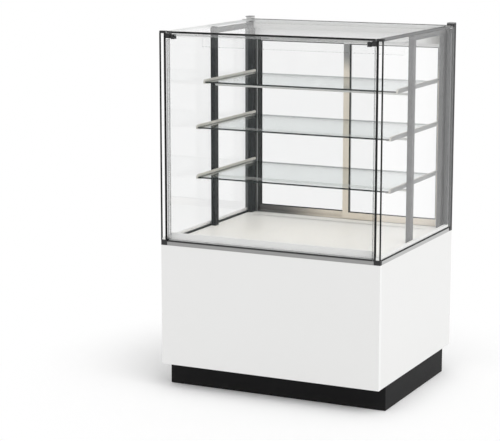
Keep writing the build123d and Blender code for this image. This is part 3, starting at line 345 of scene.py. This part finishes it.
def piece(name, patches, finish, body, smooth=False):
    """Join grids of points, each (..., rows, columns, 3), into one mesh of outward quads."""
    points, faces, start = [], [], 0
    for patch in patches:
        rows, columns = patch.shape[-3:-1]
        grids = patch.reshape(-1, rows, columns, 3)
        index = start + np.arange(grids.size // 3).reshape(-1, rows, columns)
        quads = [index[:, :-1, :-1], index[:, 1:, :-1], index[:, 1:, 1:], index[:, :-1, 1:]]
        faces.append(np.stack(quads, -1).reshape(-1, 4))
        points.append(grids.reshape(-1, 3))
        start += grids.size // 3
    mesh = bpy.data.meshes.new(name)
    mesh.from_pydata(np.concatenate(points).tolist(), [], np.concatenate(faces).tolist())
    shell = bmesh.new()
    shell.from_mesh(mesh)
    bmesh.ops.remove_doubles(shell, verts=shell.verts, dist=2e-6)
    bmesh.ops.recalc_face_normals(shell, faces=shell.faces)
    shell.to_mesh(mesh)
    shell.free()
    if smooth:
        mesh.shade_smooth()
    else:
        mesh.shade_flat()
    mesh.materials.append(finish.owner)
    made = bpy.data.objects.new(name, mesh)
    scene.collection.objects.link(made)
    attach(made, body)
    return made


def closed(rings):
    """Rings (..., rows, columns, 3), each joined to its start, with the ends drawn to a middle."""
    rings = np.concatenate([rings, rings[..., :1, :]], -2)
    ends = np.repeat(rings[..., :-1, :].mean(-2, keepdims=True), rings.shape[-2], -2)
    return np.concatenate([ends[..., :1, :, :], rings, ends[..., -1:, :, :]], -3)


def blocks(low, high):
    """Closed boxes between low and high corners: four corners of each end, run along Y."""
    low, high = np.broadcast_arrays(np.asarray(low, float), np.asarray(high, float))
    turns = np.array([(0, 0), (1, 0), (1, 1), (0, 1)])
    rings = np.zeros(low.shape[:-1] + (2, 4, 3))
    for row, y_end in enumerate((low, high)):
        rings[..., row, :, 0] = np.where(turns[:, 0], high[..., None, 0], low[..., None, 0])
        rings[..., row, :, 1] = y_end[..., None, 1]
        rings[..., row, :, 2] = np.where(turns[:, 1], high[..., None, 2], low[..., None, 2])
    return closed(rings)


# Segments as across, up, half width and half height, in digit widths and heights, seen from the
# rear; the point stands at the foot of the first digit
level, upright = (0.36, 0.0), (0.0, 0.19)
segments = {
    "top": (0, 0.5, *level), "middle": (0, 0, *level), "bottom": (0, -0.5, *level),
    "high_left": (-0.5, 0.25, *upright), "high_right": (0.5, 0.25, *upright),
    "low_left": (-0.5, -0.25, *upright), "low_right": (0.5, -0.25, *upright),
}
four = ("high_left", "high_right", "middle", "low_right")
nought = ("top", "bottom", "high_left", "high_right", "low_left", "low_right")
point = (0.85, -0.5, 0, 0)
lit = np.array(
    [(-digit_offset, *segments[name]) for name in four]
    + [(digit_offset, *segments[name]) for name in nought]
    + [(-digit_offset, *point)]
)
digit_z = window_middle[1] + digit_height * lit[:, 2]
lean = digit_slope * digit_height * lit[:, 2]
digit_x = window_middle[0] - lit[:, 0] - digit_width * lit[:, 1] - lean
reach_x = digit_width * lit[:, 3] + segment / 2
reach_z = digit_height * lit[:, 4] + segment / 2
sunk = np.full(len(lit), window_face - digit_sunk)
proud = np.full(len(lit), window_face + digit_proud)
lows = np.stack([digit_x - reach_x, sunk, digit_z - reach_z], -1)
highs = np.stack([digit_x + reach_x, proud, digit_z + reach_z], -1)
glowing = surface("lit_digits", {"Roughness": 0.3, "Emission Strength": 1.2})
glowing.set({
    "Base Color": (0.2, 0.01, 0.01),
    "Emission Color": glowing.blend(glowing.cloud(0.003), digit_red, digit_orange),
})
piece("display_digits", [blocks(lows, highs)], glowing, "cabinet")

# Buttons and drain spout
# Grey moulded caps beside the window. Up and down carry a moulded-in dark arrow, set a dot.
# The drain spout is pressed into the well from the same grey plastic.
key_grey, key_shaded = (0.30, 0.31, 0.32), (0.27, 0.28, 0.29)
key_mark = (0.02, 0.02, 0.022)
key_middle, key_pitch, key_top = 0.247, 0.0095, 0.3848
arrow_half, arrow_slope, arrow_foot, dot_radius = 0.0011, 0.9, -0.0008, 0.0009
spout_foot, spout_stain = 0.30, 0.3


def key_plastic(name, mark):
    """Grey plastic; mark makes the marked area from the position on the object, in metres."""
    cap = surface(name, {"Specular IOR Level": 0.45})
    x, y, z = cap.axes()
    body = cap.blend(cap.cloud(0.004), key_grey, key_shaded)
    cap.set({
        "Base Color": cap.blend(mark(x, y, z), body, key_mark),
        "Roughness": 0.42 + cap.cloud(0.001) * 0.2,
        "Normal": cap.relief(cap.cloud(0.0006), 0.00003),
    })
    return cap


def arrow_mark(step):
    """A triangle on the key above the middle one (step 1) or below it (-1), pointing away."""
    def mark(x, y, z):
        up = (z - window_middle[1] - step * key_pitch) * step
        inside = (abs(x - key_middle) + up * arrow_slope) < arrow_half
        return (y > key_top) * inside * (up > arrow_foot)
    return mark


def dot_mark(x, y, z):
    """A disc in the middle of the middle key."""
    across, up = x - key_middle, z - window_middle[1]
    return (y > key_top) * ((across * across + up * up) < dot_radius ** 2)


def spout_mark(x, y, z):
    """A faint stain on the lower end of the spout."""
    return (z < spout_foot) * spout_stain


dress(key_plastic("up_key_plastic", arrow_mark(1)), "up_button")
dress(key_plastic("down_key_plastic", arrow_mark(-1)), "down_button")
dress(key_plastic("set_key_plastic", dot_mark), "set_button")
dress(key_plastic("spout_plastic", spout_mark), "drain_spout")

# Panel screws
# Zinc-plated steel screws with pan heads and a cross recess. Four down each side hold the rear
# panels to the cabinet.
screw_face, screw_radius, screw_dome, screw_recess = 0.382, 0.0039, 0.0015, 0.0009
screw_sunk, dome_fall = 0.0002, 0.75
arm_half, arm_taper, arm_reach, arm_end = 0.16, 0.05, 0.62, 0.1
screw_x = 0.4157
screw_heights = (0.115, 0.37916, 0.41316, 0.548)
turn = np.linspace(0, 2 * pi, 49)
out = np.array([0, 0.12, 0.2, 0.3, 0.42, 0.52, 0.62, 0.75, 0.88, 0.96, 1.0, 1.0])
turn_grid, out_grid = np.meshgrid(turn, out)
# Height of the head: a flat dome that falls with the fourth power of the distance out, less a
# recess in the shape of a cross whose arms taper at their sides and ends
arm_gap = np.minimum(np.abs(np.sin(turn_grid)), np.abs(np.cos(turn_grid))) * out_grid
across_arm = np.clip((arm_half - arm_gap) / arm_taper, 0, 1)
along_arm = np.clip((arm_reach - out_grid) / arm_end, 0, 1)
head = screw_dome * (1 - out_grid ** 4 * dome_fall) - screw_recess * across_arm * along_arm
head[-1] = -screw_sunk
head_points = np.stack([
    screw_radius * out_grid * np.cos(turn_grid), head, screw_radius * out_grid * np.sin(turn_grid),
], -1)
back_points = head_points.copy()
back_points[..., 1] = -screw_sunk
spots = np.array([(side * screw_x, screw_face, z) for side in (-1, 1) for z in screw_heights])
plate_dull, plate_bright = (0.55, 0.55, 0.53), (0.72, 0.72, 0.70)
plated = surface("bright_zinc_plate", {"Metallic": 1.0})
plated.set({
    "Base Color": plated.blend(plated.cloud(0.003, 3), plate_dull, plate_bright),
    "Roughness": 0.18 + plated.cloud(0.002) * 0.14,
})
at_spots = spots[:, None, None, :]
screws = piece(
    "cross_recess_screws", [at_spots + head_points, at_spots + back_points],
    plated, "cabinet", smooth=True,
)
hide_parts("panel_screws")

# Insulated well
# A foam-filled well under the deck, with a floor and four walls. Its white moulded liner is a
# little greyed in patches.
liner_white, liner_aged = (0.78, 0.78, 0.76), (0.70, 0.70, 0.68)
liner = surface("white_liner", {"Specular IOR Level": 0.45})
liner.set({
    "Base Color": liner.blend(liner.cloud(0.12, 3), liner_white, liner_aged),
    "Roughness": 0.35 + liner.cloud(0.01) * 0.15,
    "Normal": liner.relief(liner.cloud(0.02), 0.0003),
})
dress(liner, "insulated_well")

# Evaporation tray and fan panel
# Stainless steel, brushed along its length: a deep tray on the base plate, and the plate with
# two round ducts that carries the evaporator fans.
steel_dull, steel_bright = (0.50, 0.50, 0.49), (0.63, 0.63, 0.62)
brushed = surface("brushed_stainless", {"Metallic": 1.0})
strokes = brushed.cloud(0.0006, 2, (0.03, 1, 1))
brushed.set({
    "Base Color": brushed.blend(strokes, steel_dull, steel_bright),
    "Roughness": 0.26 + strokes * 0.2,
    "Normal": brushed.relief(strokes, 0.00002),
})
dress(brushed, "evaporation_tray", "evaporator_fan_panel")

# Coils
# Aluminium fins pressed on copper tubes between two end plates. The metal is bright in places
# and a little oxidised in others, with a ripple of fine steps that the press left.
fin_dull, fin_bright = (0.50, 0.51, 0.52), (0.70, 0.71, 0.72)
ripples_per_metre = 500
fins = surface("fin_stock", {"Metallic": 1.0})
_, y, z = fins.axes()
ripple = abs(((y + z) * ripples_per_metre) % 1.0 - 0.5) * 2
fins.set({
    "Base Color": fins.blend(fins.cloud(0.02, 3), fin_dull, fin_bright),
    "Roughness": 0.3 + fins.cloud(0.004) * 0.2,
    "Normal": fins.relief(ripple, 0.0001),
})
dress(fins, "evaporator_coil", "condenser_coil")

# Motors, shroud and compressor
# Pressed and cast steel in semi-gloss black enamel, with a few paler rubbed spots. The shroud is
# screwed to the condenser, and the compressor is a sealed pot on four feet.
enamel_black, enamel_rubbed = (0.010, 0.010, 0.011), (0.035, 0.034, 0.033)
enamel = surface("black_enamel", {"Coat Roughness": 0.2})
rub = enamel.ease(enamel.cloud(0.03, 5), 0.6, 0.75)
enamel.set({
    "Base Color": enamel.blend(rub, enamel_black, enamel_rubbed),
    "Roughness": 0.3 + enamel.cloud(0.01, 2) * 0.2,
    "Coat Weight": 0.4 - rub * 0.3,
    "Normal": enamel.relief(enamel.cloud(0.003, 2), 0.00008),
})
dress(enamel, "evaporator_fan_motors", "condenser_shroud", "condenser_fan_motor", "compressor")

# Refrigerant pipes
# Drawn copper tube, bent and brazed, with a copper filter drier in line. The metal is bright in
# some places and browned in others.
copper_bright, copper_brown = (0.62, 0.30, 0.17), (0.33, 0.15, 0.09)
copper = surface("drawn_copper", {"Metallic": 1.0})
stain = copper.cloud(0.03, 4)
copper.set({
    "Base Color": copper.blend(stain, copper_bright, copper_brown),
    "Roughness": 0.24 + stain * 0.3,
    "Normal": copper.relief(copper.cloud(0.004, 2), 0.00004),
})
dress(copper, "refrigerant_pipes")

# Rubber mounts and glass seals
# Black moulded rubber and extruded glazing gaskets, matt, with a dusty bloom in patches. A bead
# is pushed over the front edge of each side pane.
rubber_black = (0.0065, 0.0065, 0.007)
rubber_bloom = (0.016, 0.016, 0.016)
rubber = surface("black_rubber", {"Specular IOR Level": 0.14})
rubber.set({
    "Base Color": rubber.blend(rubber.cloud(0.02, 4), rubber_black, rubber_bloom),
    "Roughness": 0.6 + rubber.cloud(0.003) * 0.25,
    "Normal": rubber.relief(rubber.cloud(0.0012), 0.00005),
})
dress(rubber, "compressor_mounts", "glass_seals")
bead_x = ((0.4247, 0.4313), (0.4454, 0.4499))
bead_y = (-0.3849, -0.3795)
bead_z = (0.5822, 1.3708)
mirror_x = (-1, 1, 1)
right_beads = blocks(
    [(inner, bead_y[0], bead_z[0]) for inner, outer in bead_x],
    [(outer, bead_y[1], bead_z[1]) for inner, outer in bead_x],
)
piece("pane_edge_beads", [right_beads, right_beads * mirror_x], rubber, "cabinet")

# Front glass edging
# A clear silicone spacer joins the two panes at the top and the sides, cloudier on the left. The
# wiper along the bottom is dark on its face and pale where it is glued between the panes.
silicone_pale, silicone_grey = (0.55, 0.56, 0.56), (0.46, 0.47, 0.47)
wiper_dark = (0.045, 0.045, 0.045)
wiper_top = 0.5842
spacer_alpha, left_alpha = 0.12, 0.22
edging = surface("front_edging", {"Specular IOR Level": 0.2})
x, _, z = edging.axes()
wiper = z < wiper_top
wiper_face = wiper * (edging.normals()[1] < -0.5)
silicone = edging.blend(edging.cloud(0.03, 3), silicone_pale, silicone_grey)
edging.set({
    "Base Color": edging.blend(wiper_face, silicone, wiper_dark),
    "Roughness": 0.4 + edging.cloud(0.003) * 0.2,
    "Alpha": (spacer_alpha + (x < 0) * left_alpha).most(wiper),
})
dress(edging, "front_glass_edging")

# Base trim
# Extruded aluminium with a satin anodised skin, mitred at the corners under black caps. The die
# leaves faint lines along each length, and the front rail carries painted shade, greyer than the
# two at the sides.
anodised_pale = (0.58, 0.58, 0.575)
anodised_dark = (0.44, 0.44, 0.435)
front_rail_painted_shade = (0.32, 0.32, 0.317)
front_rail_end = 0.4238
metal_share, inside_share = 0.85, 0.65
die_stretch = 0.02


def anodised(name, run, paint):
    """Satin anodised aluminium with die lines along the run: stretch is small on that axis.

    paint takes the bare metal's colour and gives the colour and how metallic it looks.
    """
    skin = surface(name)
    lines = skin.cloud(0.0012, 2, run)
    metal = skin.blend(lines * 0.7 + skin.cloud(0.15, 2) * 0.3, anodised_dark, anodised_pale)
    colour, metallic = paint(skin, metal)
    skin.set({
        "Base Color": colour,
        "Metallic": metallic,
        "Roughness": 0.34 + lines * 0.18,
        "Normal": skin.relief(lines, 0.00003),
    })
    return skin


# The front rail gets painted shade; the side rails keep the bare metal's colour.
def trim_paint(skin, metal):
    front = abs(skin.axes()[0]) < front_rail_end
    return skin.blend(front, metal, front_rail_painted_shade), metal_share


dress(anodised("anodised_trim", (die_stretch, die_stretch, 1), trim_paint), "base_trim")

# Side glass spacers and top trims
# Between the side panes: a pale bar at the foot, a grey one at the rear and a clear one along the
# top. A thin trim is clipped over the outer pane's top edge; it carries painted light on the left
# and painted shade towards the right.
spacer_grey = (0.105, 0.106, 0.108)
spacer_pale = (0.86, 0.86, 0.85)
clear_foot, clear_share = 1.35, 0.96
foot_bar_top, left_bar_foot = 0.5925, 0.585
spacer_bar = surface("spacer_bars", {"Specular IOR Level": 0.35})
x, _, z = spacer_bar.axes()
clear_bar = z > clear_foot
foot_bar = (z < foot_bar_top) * (z > left_bar_foot - (x > 0))
spacer_bar.set({
    "Base Color": spacer_bar.blend(foot_bar.most(clear_bar), spacer_grey, spacer_pale),
    "Roughness": 0.4 + spacer_bar.cloud(0.004) * 0.15,
    "Alpha": 1 - clear_bar * clear_share,
})
dress(spacer_bar, "side_glass_spacers")
trim_painted_light, trim_painted_shade = (0.88, 0.88, 0.875), (0.17, 0.17, 0.172)
top_trim = surface("grey_top_trim", {"Specular IOR Level": 0.3})
# Painted light on the left of the trim, fading to painted shade on the right.
painted_shade_rightwards = top_trim.ease(top_trim.axes()[0], -0.4, 0.4)
top_trim.set({
    "Base Color": top_trim.blend(painted_shade_rightwards, trim_painted_light, trim_painted_shade),
    "Roughness": 0.4 + top_trim.cloud(0.002, 2, (1, 0.03, 1)) * 0.15,
})
dress(top_trim, "side_top_trims")

# Front lip, air grilles and deck
# Sheet steel in warm white epoxy: an upright lip behind the front glass, slotted grilles in
# front and behind, and three lift-out pans between them. The lip's foot carries a painted glow
# that stands in for the case's own light, so that its face looks even.
deck_white, deck_cream = (0.93, 0.925, 0.905), (0.88, 0.87, 0.835)
lip_white, lip_cream = (0.95, 0.945, 0.935), (0.92, 0.915, 0.905)
lip_painted_glow, no_glow = (0.16, 0.16, 0.158), (0.0, 0.0, 0.0)
lip_glow_fade = (0.575, 0.622)
deck = surface("deck_epoxy", {"Specular IOR Level": 0.45})
deck.set({
    "Base Color": deck.blend(deck.cloud(0.12, 4), deck_white, deck_cream),
    "Roughness": 0.36 + deck.cloud(0.008, 2) * 0.16,
    "Normal": deck.relief(deck.cloud(0.003, 2), 0.00006),
})
dress(deck, "air_grilles", "deck_pans")
# Painted glow at the lip's foot, in place of light, fading out upwards.
lip = surface("lip_epoxy", {"Specular IOR Level": 0.4, "Emission Strength": 1.0})
lip.set({
    "Base Color": lip.blend(lip.cloud(0.1, 4), lip_white, lip_cream),
    "Roughness": 0.36 + lip.cloud(0.006, 2) * 0.16,
    "Normal": lip.relief(lip.cloud(0.003, 2), 0.00006),
    "Emission Color": lip.blend(lip.ease(lip.axes()[2], *lip_glow_fade), lip_painted_glow, no_glow),
})
dress(lip, "front_lip")

# Corner caps and hinges
# Small black mouldings at the case's front corners, and the hinge blocks of the front glass.
# The rear posts are closed with caps of grey plastic.
cap_grey = (0.30, 0.30, 0.302)
rear_half = 0.3
caps = surface("cap_moulding", {"Specular IOR Level": 0.4})
cap_black = caps.blend(caps.cloud(0.02, 3), plastic_black, plastic_worn)
caps.set({
    "Base Color": caps.blend(caps.axes()[1] > rear_half, cap_black, cap_grey),
    "Roughness": 0.4 + caps.cloud(0.0008, 1) * 0.25,
})
dress(caps, "corner_caps")
dress(moulding, "hinge_clamps", "hinge_brackets")

# Uprights, side frames and shelf brackets
# Steel tube and sheet in grey powder coat, slotted down the inner faces for the brackets. The
# faces that look into the case carry painted shade that deepens towards the left; the rear posts
# carry painted shade on their outer faces, and the top of the left frame carries painted light.
# The brackets are pressed steel in cream, with painted shade on their outer faces.
frame_grey = (0.084, 0.084, 0.085)
frame_painted_shade = (0.014, 0.014, 0.015)
post_painted_shade = (0.030, 0.030, 0.032)
post_painted_light = (0.62, 0.62, 0.615)
post_strip, post_top = 0.372, 1.3745
bracket_cream, bracket_sand = (0.60, 0.585, 0.54), (0.50, 0.485, 0.44)
bracket_painted_shade = (0.20, 0.20, 0.198)
outward_least = 0.2
uprights = surface("grey_frame_coat", {"Specular IOR Level": 0.15})
x, y, z = uprights.axes()
outward = (x * uprights.normals()[0]) > outward_least
# Painted shade on the inner faces, deepest on the left; painted shade on the rear posts' outer
# faces; painted light on the top of the left frame.
across = uprights.ease(x, -0.45, 0.44)
inside = uprights.blend(across, frame_painted_shade, frame_grey)
coat = uprights.blend(outward, inside, frame_grey)
coat = uprights.blend((y > post_strip) * outward, coat, post_painted_shade)
uprights.set({
    "Base Color": uprights.blend((z > post_top) * (x < 0), coat, post_painted_light),
    "Roughness": 0.45 + uprights.cloud(0.005, 2) * 0.15,
    "Normal": uprights.relief(uprights.cloud(0.002, 2), 0.00007),
})
dress(uprights, "side_frames", "rear_posts")
bracket_coat = surface("pale_bracket_coat", {"Specular IOR Level": 0.4})
# The brackets' outward faces get painted shade.
outward = (bracket_coat.axes()[0] * bracket_coat.normals()[0]) > outward_least
cream = bracket_coat.blend(bracket_coat.cloud(0.04, 3), bracket_cream, bracket_sand)
bracket_coat.set({
    "Base Color": bracket_coat.blend(outward, cream, bracket_painted_shade),
    "Roughness": 0.42 + bracket_coat.cloud(0.004) * 0.16,
    "Normal": bracket_coat.relief(bracket_coat.cloud(0.002, 2), 0.00006),
})
dress(bracket_coat, "shelf_brackets")

# Rear header, track, jambs and door frames
# Satin anodised extrusions, cut square and screwed at the corners. The faces that look into the
# case carry painted light and shade: warm light low down, grey near the stiles' tops, pale above
# the doors, painted shade towards the left and at the left jamb, and towards the header's right
# end.
along_x, along_z = (die_stretch, 1, 1), (1, 1, die_stretch)
door_painted_warm_light = (0.88, 0.80, 0.69)
door_painted_grey = (0.30, 0.30, 0.298)
door_painted_shade = (0.13, 0.125, 0.12)
jamb_painted_shade = (0.060, 0.060, 0.058)
header_painted_light = (0.80, 0.80, 0.795)
header_end_painted_shade = (0.30, 0.29, 0.275)
left_shade, header_shade = (-0.30, -0.06), (0.32, 0.40)
stile_cools, door_top, left_jamb = (1.17, 1.25), 1.291, -0.3895


def inner_face(colour):
    """Painted light and shade on faces that look into the case; colour takes the finish, x and z
    in metres.
    """
    def paint(skin, metal):
        x, _, z = skin.axes()
        inside = skin.normals()[1] < -0.5
        return skin.blend(inside, metal, colour(skin, x, z)), metal_share - inside * inside_share
    return paint


def door_colour(skin, x, z):
    """Painted light and shade: warm, darker to the left, cool at the stile's top, pale above, dark
    jamb.
    """
    lower = skin.blend(skin.ease(x, *left_shade), door_painted_shade, door_painted_warm_light)
    stile = skin.blend(skin.ease(z, *stile_cools), lower, door_painted_grey)
    rail = skin.blend(z > door_top, stile, header_painted_light)
    return skin.blend(x < left_jamb, rail, jamb_painted_shade)


# The header's inner faces: painted light, with painted shade towards the right end.
def header_colour(skin, x, z):
    return skin.blend(skin.ease(x, *header_shade), header_painted_light, header_end_painted_shade)


dress(anodised("anodised_header", along_x, inner_face(header_colour)), "rear_header")
dress(anodised("anodised_track", along_x, inner_face(door_colour)), "lower_track")
door_skin = anodised("anodised_doors", along_z, inner_face(door_colour))
dress(door_skin, "door_jambs", "left_door_frame", "right_door_frame")

# Door gaskets
# Extruded black rubber, cut square at the corners and pushed in round each door's pane on both
# faces, a hair inside the faces of the frame.
gasket_width, gasket_sunk = 0.003, 0.0003
door_panes = {
    "left_door": ((-0.390, -0.013), (0.372, 0.382)),
    "right_door": ((0.013, 0.390), (0.357, 0.367)),
}
pane_foot, pane_head, pane_half = 0.605, 1.292, 0.0025
for door, ((x0, x1), (y0, y1)) in door_panes.items():
    middle = (y0 + y1) / 2
    lows, highs = [], []
    front_face, rear_face = y0 + gasket_sunk, y1 - gasket_sunk
    for near, far in ((front_face, middle - pane_half), (middle + pane_half, rear_face)):
        for left, right, foot, head in (
            (x0, x1, pane_foot, pane_foot + gasket_width),
            (x0, x1, pane_head - gasket_width, pane_head),
            (x0, x0 + gasket_width, pane_foot, pane_head),
            (x1 - gasket_width, x1, pane_foot, pane_head),
        ):
            lows.append((left, near, foot))
            highs.append((right, far, head))
    piece(door + "_gasket", [blocks(lows, highs)], rubber, door)

# Rear seal and glass clips
# A black gasket closes the joint behind the top glass, and a bent clip of pale metal on each
# side holds the outer pane's rear corner.
seal_low, seal_high = (-0.4235, 0.3490, 1.3786), (0.4235, 0.3512, 1.3800)
piece("rear_top_seal", [blocks([seal_low], [seal_high])], rubber, "cabinet")
clip_bright, clip_dull = (0.70, 0.70, 0.69), (0.55, 0.55, 0.54)
clip_metal = surface("clip_metal", {"Metallic": 0.9})
clip_metal.set({
    "Base Color": clip_metal.blend(clip_metal.cloud(0.004, 3), clip_bright, clip_dull),
    "Roughness": 0.3 + clip_metal.cloud(0.002) * 0.15,
})
# Each clip is a flat top with a leg down each side, listed as low and high x, and the low z
clip_y, clip_top = (0.318, 0.346), 1.3788
clip_parts = ((0.4265, 0.4495, 1.3772), (0.4265, 0.4280, 1.3700), (0.4470, 0.4495, 1.3690))
right_clip = blocks(
    [(inner, clip_y[0], foot) for inner, outer, foot in clip_parts],
    [(outer, clip_y[1], clip_top) for inner, outer, foot in clip_parts],
)
piece("pane_clips", [right_clip, right_clip * mirror_x], clip_metal, "cabinet")

# Glass
# Clear toughened panes with polished edges: single top glass and shelves, double side and front
# units, and one pane in each door. Each face mirrors little head-on and more at a glance. The
# edges of the side and top panes carry painted light, pale on the left and at the rear.
edge_dark = (0.008, 0.012, 0.011)
edge_grey = (0.26, 0.265, 0.265)
edge_painted_light = (0.80, 0.81, 0.805)
face_tint = (0.20, 0.23, 0.23)
glance_white = (0.97, 0.975, 0.975)
glance_green = (0.60, 0.66, 0.65)
shelf_tint = (0.45, 0.52, 0.50)
face_least, edge_alpha = 0.9, 0.95
left_edge, rear_edge = -0.41, 0.345
light_paths = 40


def dark_edge(glass):
    return edge_dark


def pane(name, thin, veil, mirror, edge=dark_edge, tint=face_tint, glance_tint=glance_white):
    """Glass whose faces look along axis number thin: a veil head-on, a mirror at a glance.

    The mirror grows with the fifth power of how far the face turns away. edge gives the colour of
    the polished edges, which are nearly solid.
    """
    glass = surface(name, {"Specular IOR Level": 0.15})
    facing = glass.node("ShaderNodeLayerWeight", {}, {"Blend": 0.5}, "Facing")
    glance = facing ** 5
    face = abs(glass.normals()[thin]) > face_least
    dust = glass.cloud(0.07, 4)
    skin = glass.blend(glass.ease(facing, 0.25, 0.6), tint, glance_tint)
    glass.set({
        "Base Color": glass.blend(face, edge(glass), skin),
        "Metallic": face,
        "Roughness": 0.02 + (1 - face) * 0.2,
        "Alpha": edge_alpha - face * (edge_alpha - (veil * (0.8 + dust * 0.4) + glance * mirror)),
    })
    return glass


# Edges of the side panes: painted light on the left, grey elsewhere.
def painted_light_on_left(glass):
    return glass.blend(glass.axes()[0] < left_edge, edge_grey, edge_painted_light)


# Edges of the top pane: painted light at the rear and on the left, grey elsewhere.
def painted_light_behind(glass):
    return glass.blend(glass.axes()[1] > rear_edge, painted_light_on_left(glass), edge_painted_light)


dress(pane("side_panes", 0, 0.008, 0.5, painted_light_on_left), "side_glass")
dress(pane("top_pane", 2, 0.02, 0.28, painted_light_behind), "top_glass")
dress(pane("front_panes", 1, 0.028, 0.35), "front_glass")
dress(pane("door_panes", 1, 0.015, 0.4), "left_door_glass", "right_door_glass")
shelf_pane = pane("shelf_panes", 2, 0.05, 0.9, dark_edge, shelf_tint, glance_green)
dress(shelf_pane, "lower_shelf", "middle_shelf", "upper_shelf")
scene.cycles.transparent_max_bounces = light_paths

# Light bars
# Aluminium channels with a frosted lens, one under each shelf and one along the header. The lens
# is lit from within by a row of diodes, so it glows warm below; in front, the diodes' light is
# painted on as paler spots.
lens_shade = (0.60, 0.60, 0.59)
lens_painted_diode_light = (0.75, 0.745, 0.73)
lens_glow = (1.0, 0.90, 0.74)
diode_pitch = 0.0167
spot_share, glow_share = 0.15, 0.7
lens = surface("frosted_lens", {"Specular IOR Level": 0.4, "Emission Strength": 5.0})
diode = 1 - lens.ease(abs((lens.axes()[0] / diode_pitch) % 1.0 - 0.5), 0.1, 0.35)
underside = lens.normals()[2] < -0.8
lit_lens = underside * (glow_share + diode * (1 - glow_share))
# The paler spots in the base colour are painted light from the diodes.
lens.set({
    "Base Color": lens.blend(diode * spot_share, lens_shade, lens_painted_diode_light),
    "Roughness": 0.38 + lens.cloud(0.004) * 0.1,
    "Normal": lens.relief(lens.cloud(0.002), 0.00004),
    "Emission Color": lens.blend(lit_lens, no_glow, lens_glow),
})
dress(lens, "light_bars")

# Air deflector
# A clear acrylic strip under the top glass, held by an arm at each end, that turns the cold air
# down. Its lower edge is milled in short dashes, which catch the light.
dash_pitch, dash_top, dash_alpha = 0.0145, 1.3005, 0.2
acrylic_pale, acrylic_edge = (0.6, 0.62, 0.62), (0.20, 0.21, 0.21)
acrylic_veil, acrylic_mirror, side_alpha = 0.02, 0.5, 0.16
clear = surface("clear_acrylic", {"Specular IOR Level": 0.5})
x, _, z = clear.axes()
facing = clear.node("ShaderNodeLayerWeight", {}, {"Blend": 0.5}, "Facing")
face = abs(clear.normals()[1]) > 0.5
side = 1 - face
dash = ((x / dash_pitch) % 1.0 < 0.5) * (z < dash_top)
front_alpha = acrylic_veil + facing ** 5 * acrylic_mirror
clear.set({
    "Base Color": clear.blend(dash.most(side), acrylic_pale, acrylic_edge),
    "Metallic": face * (1 - dash),
    "Roughness": 0.04 + dash * 0.3,
    "Alpha": front_alpha.most(dash * dash_alpha).most(side * side_alpha),
})
dress(clear, "air_deflector")
